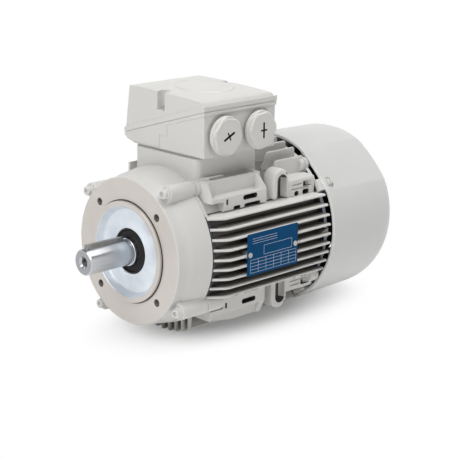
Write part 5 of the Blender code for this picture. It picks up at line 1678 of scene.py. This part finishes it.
    def cowl_screws(self, x: float) -> None:
        """Builds the four cowl screws with their domed, slotted heads.

        Args:
            x: Place of the screws along the shaft.
        """
        seat, head = self.screw_seat, self.screw_head
        shank, length = self.screw_shank
        profile = [(seat + 2.6, 0), (seat + 2.5, 2.0), (seat + 1.9, 3.3), (seat + 0.6, head), (seat, head)]
        profile += [(seat, shank), (seat - length, shank), (seat - length, 0)]
        screw = Solid().turn(profile, 32)
        screw.cut(Solid().block((seat + 1.4, -0.5, -6), (seat + 4, 0.5, 6)))
        screw.moved(Matrix.Translation((x, 0, 0)) @ Matrix.Rotation(pi / 2, 4, "Z"))
        screws = repeated(RING, screw, PAINT, count=4, phase=self.fixing)
        Piece("cowl_screw_set", "zinc_screw", numbered("cowl_screw", 4)).finish(screws, PAINT)

    def build(self) -> None:
        """Builds everything behind the frame."""
        self.shield()
        self.fan_wheel()
        self.cowl()


@dataclass
class TerminalBox:
    """Terminal box with its sloped joint, lid, lid screws and blanking plugs."""

    near_top: float = 152.0
    far_top: float = 113.5
    wall: float = 3.5
    floor: float = 4.0
    panel: float = 1.0
    strip: float = 4.2
    lip: float = 8.0
    crown: float = 5.1
    crown_fall: float = 0.85
    near_edge: float = 0.8
    far_edge: float = 5.0
    ring: float = 32.0
    ring_shift: float = 6.0
    ring_slope: float = 1.6
    ring_rise: float = 0.5
    ridge: Place = (1.2, 2.0, 0.9)
    seam: float = 1.8
    shut: float = 0.12
    end_lean: float = 1.2
    near_lean: float = 3.5
    far_lean: float = 4.5
    lid_wall: float = 3.0
    lid_grid: tuple[int, int] = (120, 132)
    rim: float = 1.4
    rim_height: float = 4.4
    channel: float = 12.0
    channel_depth: float = 12.0
    channel_rounding: float = 5.6
    post: float = 16.0
    post_wall: float = 3.0
    post_drop: float = 1.6
    screw_y: float = 3.0
    screw_rise: float = 12.0
    plug_z: float = 125.0
    plug_radius: float = 21.0
    plug_seat: float = 8.0
    plug_thread: float = 15.2
    plug_turns: Point = (48.0, 5.0)
    plug_strokes: Point = (26.0, 90.0)
    plug_slots: tuple[Point, Point] = ((15.0, 1.25), (8.0, 0.9))
    gasket_inset: float = 0.5
    gasket_hole: Point = (96.0, 20.0)
    above: float = 200.0

    def __post_init__(self) -> None:
        """Reads the box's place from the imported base."""
        self.low, self.high = span("terminal_box_base")

    def joint(self, y: float) -> float:
        """Height of the sloped joint at a place across the motor."""
        share = (y - self.low.y) / (self.high.y - self.low.y)
        return self.near_top + (self.far_top - self.near_top) * share

    def rim_strip(self, below: float, above: float, out: float) -> Solid:
        """Makes a strip that runs along the joint round the box.

        Args:
            below: How far it reaches below the joint.
            above: How far it reaches above the joint.
            out: How far it stands out from the walls.

        Returns:
            The strip as a slab over the whole box.
        """
        near, far = self.low.y - out, self.high.y + out
        corners = [(near, self.joint(near) - below), (far, self.joint(far) - below)]
        corners += [(far, self.joint(far) + above), (near, self.joint(near) + above)]
        return Solid().prism(corners, self.low.x - out, self.high.x + out, Plane.ALONG).bevel(1.0, 50)

    def base(self) -> None:
        """Builds the lower half with its raised end panels and the recess round the plugs."""
        low, high, wall, out = self.low, self.high, self.wall, self.panel
        bottom, joint = low.z, self.joint
        corners = [(low.y, bottom), (high.y - 14, bottom), (high.y, bottom + 4.0), (high.y, joint(high.y))]
        corners += [(low.y, joint(low.y))]
        body = Solid().prism(corners, low.x, high.x, Plane.ALONG).bevel(1.6, 20)
        far = high.y - 4
        panel = [(-8.0, joint(-8.0) - 3), (-8.0, 119.0), (4.0, 119.0), (4.0, bottom + 2)]
        panel += [(high.y - 12, bottom + 2), (far, bottom + 5.0), (far, joint(far) - 1)]
        for first, last in ((low.x - out, low.x + 3.0), (high.x - 3.0, high.x + out)):
            body.add(Solid().prism(panel, first, last, Plane.ALONG, 0.7))
        body.add(self.rim_strip(self.strip, 0.0, out))
        ends = [(x, self.plug_z) for x in self.plug_places()]
        recess = stadium(*ends, self.plug_radius + 2.8, 24)
        body.cut(Solid().prism(recess, -low.y - 0.9, -low.y + 4.0, Plane.SIDE))
        hollow = (low.x + wall, low.y + wall, bottom + self.floor)
        body.cut(Solid().block(hollow, (high.x - wall, high.y - wall, self.above)))
        Piece("box_base", "painted_casting", ("terminal_box_base",)).finish(body, PAINT)

    def plug_places(self) -> tuple[float, ...]:
        """Places of the two plugs along the motor."""
        return tuple(middle_x(node) for node in numbered("cable_plug", 2))

    def crown_height(self, x: float, y: float) -> float:
        """Height of the lid's crowned top with its shallow round boss and the boss's raised edge.

        Args:
            x: Place along the motor.
            y: Place across the motor.

        Returns:
            Height above the shaft axis.
        """
        low, high = self.low, self.high
        near, far = low.y + self.near_lean, high.y - self.far_lean
        middle_y, middle = (near + far) / 2, (low.x + high.x) / 2
        across = (y - middle_y) / (far - near) * 2
        along = (x - middle) / (high.x - low.x) * 2
        slope = self.near_edge + (self.far_edge - self.near_edge) * (across + 1) / 2
        dome = self.crown * (1 - across * across) * (1 - self.crown_fall * along * along)
        distance = hypot(x - middle, y - middle_y + self.ring_shift)
        share = clamped((self.ring + self.ring_slope - distance) / self.ring_slope)
        inset, half, rise = self.ridge
        ridge = max(1 - abs(distance - self.ring + inset) / half, 0.0)
        boss = self.ring_rise * share + rise * ridge * ridge * (3 - 2 * ridge)
        return self.near_top + self.lip + slope + dome + boss

    def lid_shell(self, inset: float, below: float, drop_top: float) -> Solid:
        """Makes the lid's outer or inner shape.

        Args:
            inset: How far the walls lie inside the lid's outside.
            below: How far it reaches below the joint's lid face.
            drop_top: How far the top lies below the crown.

        Returns:
            The closed shape.
        """
        low, high = self.low, self.high
        columns, rows = self.lid_grid
        first, length = low.x + self.end_lean + inset, high.x - low.x - 2 * self.end_lean - 2 * inset
        near, far = low.y + self.near_lean + inset, high.y - self.far_lean - inset
        grid = bmesh.new()
        tops: list[list[bmesh.types.BMVert]] = []
        for i in range(columns + 1):
            x = first + length * i / columns
            places = [near + (far - near) * j / rows for j in range(rows + 1)]
            tops.append([grid.verts.new((x, y, self.crown_height(x, y) - drop_top)) for y in places])
        for i in range(columns):
            for j in range(rows):
                grid.faces.new((tops[i][j], tops[i + 1][j], tops[i + 1][j + 1], tops[i][j + 1]))
        edge = [tops[i][0] for i in range(columns + 1)] + tops[columns][1:]
        edge += [tops[i][rows] for i in range(columns - 1, -1, -1)] + tops[0][rows - 1:0:-1]
        feet = []
        for vert in edge:
            along, across = (vert.co.x - first) / length, (vert.co.y - near) / (far - near)
            x = low.x + inset + (high.x - low.x - 2 * inset) * along
            y = low.y + inset + (high.y - low.y - 2 * inset) * across
            feet.append(grid.verts.new((x, y, self.joint(y) + self.seam - below)))
        for i, vert in enumerate(edge):
            j = (i + 1) % len(edge)
            grid.faces.new((vert, edge[j], feet[j], feet[i]))
        grid.faces.new(feet)
        return Solid().take(grid)

    def lid(self) -> None:
        """Builds the lid with its rim and the channels of its screws."""
        low, high, y = self.low, self.high, self.screw_y
        body = self.lid_shell(0.0, 0.0, 0.0).bevel(1.8, 40, 4)
        body.add(self.rim_strip(-self.shut, self.seam + self.rim_height, self.rim))
        body.cut(self.lid_shell(self.lid_wall, 8.0, self.lid_wall))
        seat = self.joint(y) + self.seam + self.screw_rise
        half = self.channel / 2
        for first, last in ((low.x, low.x + self.post), (high.x - self.post, high.x)):
            ends = (first + 1.0, last - 1.0)
            outline = [(ends[0], seat - 10), (ends[1], seat - 10)]
            outline += [(x, self.crown_height(x, y) - self.post_drop) for x in reversed(ends)]
            reach = half + self.post_wall
            body.add(Solid().prism(outline, -y - reach, reach - y, Plane.SIDE))
        depth = self.channel_depth
        for first, last in ((low.x - 5, low.x + depth), (high.x - depth, high.x + 5)):
            corners = rectangle((first, y - half), (last, y + half))
            body.cut(Solid().prism(rounded(corners, self.channel_rounding, 8), seat, 190.0, Plane.UP))
        Piece("box_lid", "painted_casting", ("terminal_box_lid",)).finish(body, PAINT)
        self.lid_screws(seat)

    def lid_screws(self, seat: float) -> None:
        """Builds the two lid screws with their socket heads.

        Args:
            seat: Height of the face that their heads sit on.
        """
        profile = [(2.0, 0), (2.0, 1.0), (3.8, 1.2), (3.8, 2.6), (3.2, 3.5), (0.3, 3.5), (0.3, 2.0)]
        screw = Solid().turn(profile + [(-24, 2.0), (-24, 0)], 32).moved(TO_TOP)
        nodes = numbered("lid_screw", 2)
        first, last = (middle_x(node) for node in nodes)
        screw.moved(Matrix.Translation((first, self.screw_y, seat)))
        screws = repeated(ROW, screw, ZINC, count=2, step=(last - first, 0.0, 0.0))
        Piece("lid_screw_pair", "zinc_screw", nodes).finish(screws, ZINC)

    def plugs(self) -> None:
        """Builds the blanking plugs with round collars, six-sided faces and cross slots."""
        radius = self.plug_radius
        places = zip(self.plug_places(), self.plug_turns, self.plug_strokes)
        for node, (x, turn, stroke) in zip(numbered("cable_plug", 2), places):
            low, high = span(node)
            face, seat = -low.y, -low.y - self.plug_seat
            rim = face - 3.4
            collar = [(seat, 0), (seat, radius - 0.6), (seat + 0.6, radius), (face - 4.4, radius)]
            plug = Solid().turn(collar + [(rim, radius - 1.0), (rim, 0)], 96).moved(TO_NEAR)
            shank = [(-high.y, 0), (-high.y, self.plug_thread), (seat + 1, self.plug_thread), (seat + 1, 0)]
            plug.add(Solid().turn(shank, 64).moved(TO_NEAR))
            hexagon = rounded(arc((0, 0), radius + 0.6, turn, turn + 300, 5), 2.0, 4)
            dome = Solid().prism(hexagon, face - 6.0, face, Plane.SIDE, 1.6)
            limit = [(0, 0), (0, radius - 0.8), (face - 1.2, radius - 0.8), (face + 3, radius - 7)]
            limit += [(face + 3, 0)]
            dome.join(Solid().turn(limit, 96).moved(TO_NEAR), Joining.KEEP)
            plug.add(dome)
            for side, (length, half) in enumerate(self.plug_slots):
                slot = stadium((-length / 2, 0), (length / 2, 0), half, 6)
                cutter = Solid().prism(slot, face - 2.2, face + 5, Plane.SIDE)
                plug.cut(cutter.moved(Matrix.Rotation(radians(-stroke - 90 * side), 4, "Y")))
            plug.moved(Matrix.Translation((x, 0, self.plug_z)))

            def surface(middle: Vector, normal: Vector) -> Material:
                """Picks black, as painted shade inside the slots, or the plug's grey for a face."""
                near = hypot(middle.x - x, middle.z - self.plug_z) < 9.5
                return BLACK if near and 0.05 < middle.y + face < 3 else PLASTIC

            piece = Piece(node.replace("cable", "blanking"), "grey_plastic", (node,))
            piece.finish(plug, PLASTIC, BLACK, pick=surface)

    def sheet(self) -> None:
        """Builds the gasket between the box and its pedestal."""
        low, high = span("box_gasket")
        x0, x1, half, _ = StatorFrame.pedestal
        inset = self.gasket_inset
        corners = rectangle((x0 + inset, inset - half), (x1 - inset, half - inset))
        sheet = Solid().prism(rounded(corners, 7.5, 8), low.z, high.z, Plane.UP)
        along, radius = self.gasket_hole
        hole = [(x, y) for y, x in arc((0.0, along), radius, 0, 352, 45)]
        sheet.cut(Solid().prism(hole, 60, 140, Plane.UP))
        Piece("gasket_sheet", "rubber", ("box_gasket",)).finish(sheet, GASKET)

    def build(self) -> None:
        """Builds the whole box."""
        self.sheet()
        self.base()
        self.lid()
        self.plugs()


@dataclass
class RatingPlate:
    """Rating plate with blank ruled fields, and its rivets."""

    rounding: float = 1.6
    edge: float = 0.15
    rule: float = 0.35
    rule_reach: Point = (0.05, 0.02)
    margins: Point = (7.4, 2.4)
    rivet: float = 3.0
    rivet_shank: Point = (1.75, 8.0)

    def build(self) -> None:
        """Builds plate, rules and rivets."""
        low, high = span("rating_plate")
        front = -low.y
        outline = rounded(rectangle((low.x, low.z), (high.x, high.z)), self.rounding)
        plate = Solid().prism(outline, -high.y, front, Plane.SIDE, self.edge)
        Piece("plate_sheet", "blue_plate", ("rating_plate",)).finish(plate, BLUE)
        left, right = low.x + self.margins[0], high.x - self.margins[1]
        width, rule = right - left, self.rule
        rules = Solid()
        rows = (
            (left, 17.0, width * 0.55, rule, 3, (0.0, 0.0, -2.6)),
            (left + 17, 7.4, width - 24, rule, 2, (0.0, 0.0, -10.2)),
            (left - 3, -5.8, width + 3, rule, 5, (0.0, 0.0, -3.6)),
            (left + 17, -2.8, rule, 10.2 + rule, 2, (width - 24.0 - rule, 0.0, 0.0)),
            (left - 3, -20.2, rule, 14.4 + rule, 7, ((width + 3 - rule) / 6, 0.0, 0.0)),
        )
        out, into = self.rule_reach
        for x, z, length, height, count, step in rows:
            one = Solid().block((x, -front - out, z), (x + length, -front + into, z + height))
            rules.put(repeated(ROW, one, WHITE_PRINT, count=count, step=step).baked())
        Piece("plate_rules", "blue_plate", ()).finish(rules, WHITE_PRINT)
        self.rivets(front)

    def rivets(self, front: float) -> None:
        """Builds the two rivets with domed heads.

        Args:
            front: Distance of the plate's face from the shaft axis.
        """
        nodes = numbered("rating_plate_rivet", 2)
        first, last = (middle_x(node) for node in nodes)
        under, top = front + 0.1, -span(nodes[0])[0].y
        angles = [radians(15 * i) for i in range(6)]
        dome = [(under + (top - under) * sin(a), self.rivet * cos(a)) for a in angles]
        shank, length = self.rivet_shank
        profile = [(top, 0), *reversed(dome), (under, shank), (front - length, shank), (front - length, 0)]
        rivet = Solid().turn(profile, 32).moved(Matrix.Translation((first, 0, 0)) @ TO_NEAR)
        rivets = repeated(ROW, rivet, ZINC, count=2, step=(last - first, 0.0, 0.0))
        Piece("plate_rivets", "zinc_screw", nodes).finish(rivets, ZINC)


KEPT_NODES = {
    "bearing_outer_ring": STEEL,
    "bearing_inner_ring": STEEL,
    "bearing_balls": STEEL,
    "preload_spring": STEEL,
    "fan_clip": STEEL,
    "stator_core": SHEETS,
    "rotor_core": CAGE,
    "winding_head": VARNISH,
    "gasket": GASKET,
    "plug_seal": GASKET,
    "terminal_board": BLACK,
    "terminal_stud": BRASS,
    "terminal_link": BRASS,
    "earth_screw": BRASS,
    "box_screw": ZINC,
}


def dress_kept_nodes() -> None:
    """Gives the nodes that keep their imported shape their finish."""
    for name, obj in frame["nodes"].items():
        if obj.hide_render:
            continue
        finish = next(material for word, material in KEPT_NODES.items() if word in name)
        obj.data.materials.clear()
        obj.data.materials.append(finish)
        LOG.info("%s: kept, in %s", name, finish.name)


@dataclass(frozen=True)
class Lamp:
    """A soft square lamp that faces the motor, in metres and watts."""

    name: str
    place: Place
    size: float
    power: float

    def light(self, aim: Place) -> None:
        """Sets the lamp.

        Args:
            aim: Place that it faces.
        """
        data = bpy.data.lights.new(self.name, "AREA")
        data.size = self.size
        data.energy = self.power
        obj = bpy.data.objects.new(self.name, data)
        obj.location = self.place
        obj.rotation_euler = (Vector(aim) - Vector(self.place)).to_track_quat("-Z", "Y").to_euler()
        bpy.context.scene.collection.objects.link(obj)


@dataclass
class Studio:
    """Camera, floor, backdrop and lights."""

    focal: float = 107.87
    sensor: float = 36.0
    farthest: float = 50.0
    azimuth: float = -44.401
    elevation: float = 15.621
    roll: float = 0.677
    distance: float = 1527.7
    aim: Place = (120.0, 0.0, 20.0)
    shift: Point = (20.786, -16.966)
    floor_radius: float = 6.0
    floor_tone: float = 0.97
    floor_roughness: float = 0.9
    shade_place: Place = (-0.105, 0.0, 0.0)
    shade_scale: Place = (5.26, 10.0, 1.0)
    shade_limits: Point = (0.4, 1.15)
    shade_white: Point = (0.22, 1.0)
    lamps: tuple[Lamp, ...] = (
        Lamp("key", (-1.7, -0.35, 1.6), 1.8, 31.0),
        Lamp("top", (0.75, -0.3, 2.2), 1.8, 35.0),
    )
    lamp_aim: Place = (0.0, 0.0, 0.12)
    world_light: float = 0.16
    ceiling_limits: Point = (0.35, 0.6)
    ceiling_white: Point = (1.0, 0.22)

    def camera(self) -> None:
        """Sets the camera at the photograph's viewing angle."""
        azimuth, elevation, roll = (radians(v) for v in (self.azimuth, self.elevation, self.roll))
        flat = cos(elevation)
        back = Vector((sin(azimuth) * flat, -cos(azimuth) * flat, sin(elevation)))
        right = Vector((0, 0, 1)).cross(back).normalized()
        up = back.cross(right)
        tilted = cos(roll) * right + sin(roll) * up
        upright = cos(roll) * up - sin(roll) * right
        target = Vector(self.aim) + tilted * self.shift[0] + upright * self.shift[1]
        data = bpy.data.cameras.new("camera")
        data.lens = self.focal
        data.sensor_width = self.sensor
        data.clip_end = self.farthest
        obj = bpy.data.objects.new("camera", data)
        axes = Matrix((tilted, upright, back)).transposed().to_4x4()
        obj.matrix_world = Matrix.Translation(TO_FRAME @ (target + back * self.distance)) @ axes
        bpy.context.scene.collection.objects.link(obj)
        bpy.context.scene.camera = obj

    def floor(self) -> None:
        """Lays a pale floor that keeps the shadow and turns white away from the motor."""
        part = bmesh.new()
        bmesh.ops.create_circle(part, cap_ends=True, segments=96, radius=self.floor_radius)
        mesh = bpy.data.meshes.new("floor")
        part.to_mesh(mesh)
        part.free()
        obj = bpy.data.objects.new("floor", mesh)
        bpy.context.scene.collection.objects.link(obj)
        material = bpy.data.materials.new("pale_floor")
        material.use_nodes = True
        graph, nodes = Graph(material.node_tree), material.node_tree.nodes
        shader = nodes["Principled BSDF"]
        tone = (self.floor_tone, self.floor_tone, self.floor_tone, 1)
        values = {"Base Color": tone, "Roughness": self.floor_roughness, "Specular IOR Level": 0.0}
        graph.feed(shader, values)
        where = graph.add("ShaderNodeTexCoord").outputs["Object"]
        values = {"Vector": where, "Location": self.shade_place, "Scale": self.shade_scale}
        oval = graph.add("ShaderNodeMapping", values).outputs[0]
        length = graph.add("ShaderNodeVectorMath", {0: oval}, operation="LENGTH").outputs["Value"]
        far = graph.graded(length, self.shade_limits, self.shade_white)
        white = graph.add("ShaderNodeEmission", {"Color": (1, 1, 1, 1), "Strength": 1.0})
        share = graph.math("MULTIPLY", far, graph.seen())
        mix = graph.add("ShaderNodeMixShader", {0: share, 1: shader.outputs[0], 2: white.outputs[0]})
        graph.feed(nodes["Material Output"], {"Surface": mix.outputs[0]})
        mesh.materials.append(material)

    def lights(self) -> None:
        """Sets the lamps and a white world that darkens overhead."""
        for lamp in self.lamps:
            lamp.light(self.lamp_aim)
        world = bpy.data.worlds.new("studio")
        bpy.context.scene.world = world
        world.use_nodes = True
        graph, nodes = Graph(world.node_tree), world.node_tree.nodes
        backdrop = nodes["Background"]
        graph.feed(backdrop, {"Color": (1, 1, 1, 1), "Strength": self.world_light})
        where = graph.add("ShaderNodeTexCoord").outputs["Generated"]
        height = graph.add("ShaderNodeSeparateXYZ", {0: where}).outputs[2]
        ceiling = graph.graded(height, self.ceiling_limits, self.ceiling_white)
        white = graph.add("ShaderNodeBackground", {"Color": ceiling, "Strength": 1.0})
        inputs = {0: graph.seen(), 1: backdrop.outputs[0], 2: white.outputs[0]}
        mix = graph.add("ShaderNodeMixShader", inputs)
        graph.feed(nodes["World Output"], {"Surface": mix.outputs[0]})

    def build(self) -> None:
        """Sets the whole studio."""
        bpy.context.scene.view_settings.view_transform = "Standard"
        self.camera()
        self.floor()
        self.lights()


def main() -> None:
    """Builds the motor's sub-assemblies in order and the studio round them."""
    logging.basicConfig(level=logging.INFO, format="%(name)s: %(message)s")
    for kind in (ShaftEnd, TieScrews, DriveShield, StatorFrame, FanEnd, TerminalBox, RatingPlate):
        LOG.info("building %s", kind.__name__)
        kind().build()
    dress_kept_nodes()
    Studio().build()


if __name__ == "__main__":
    main()
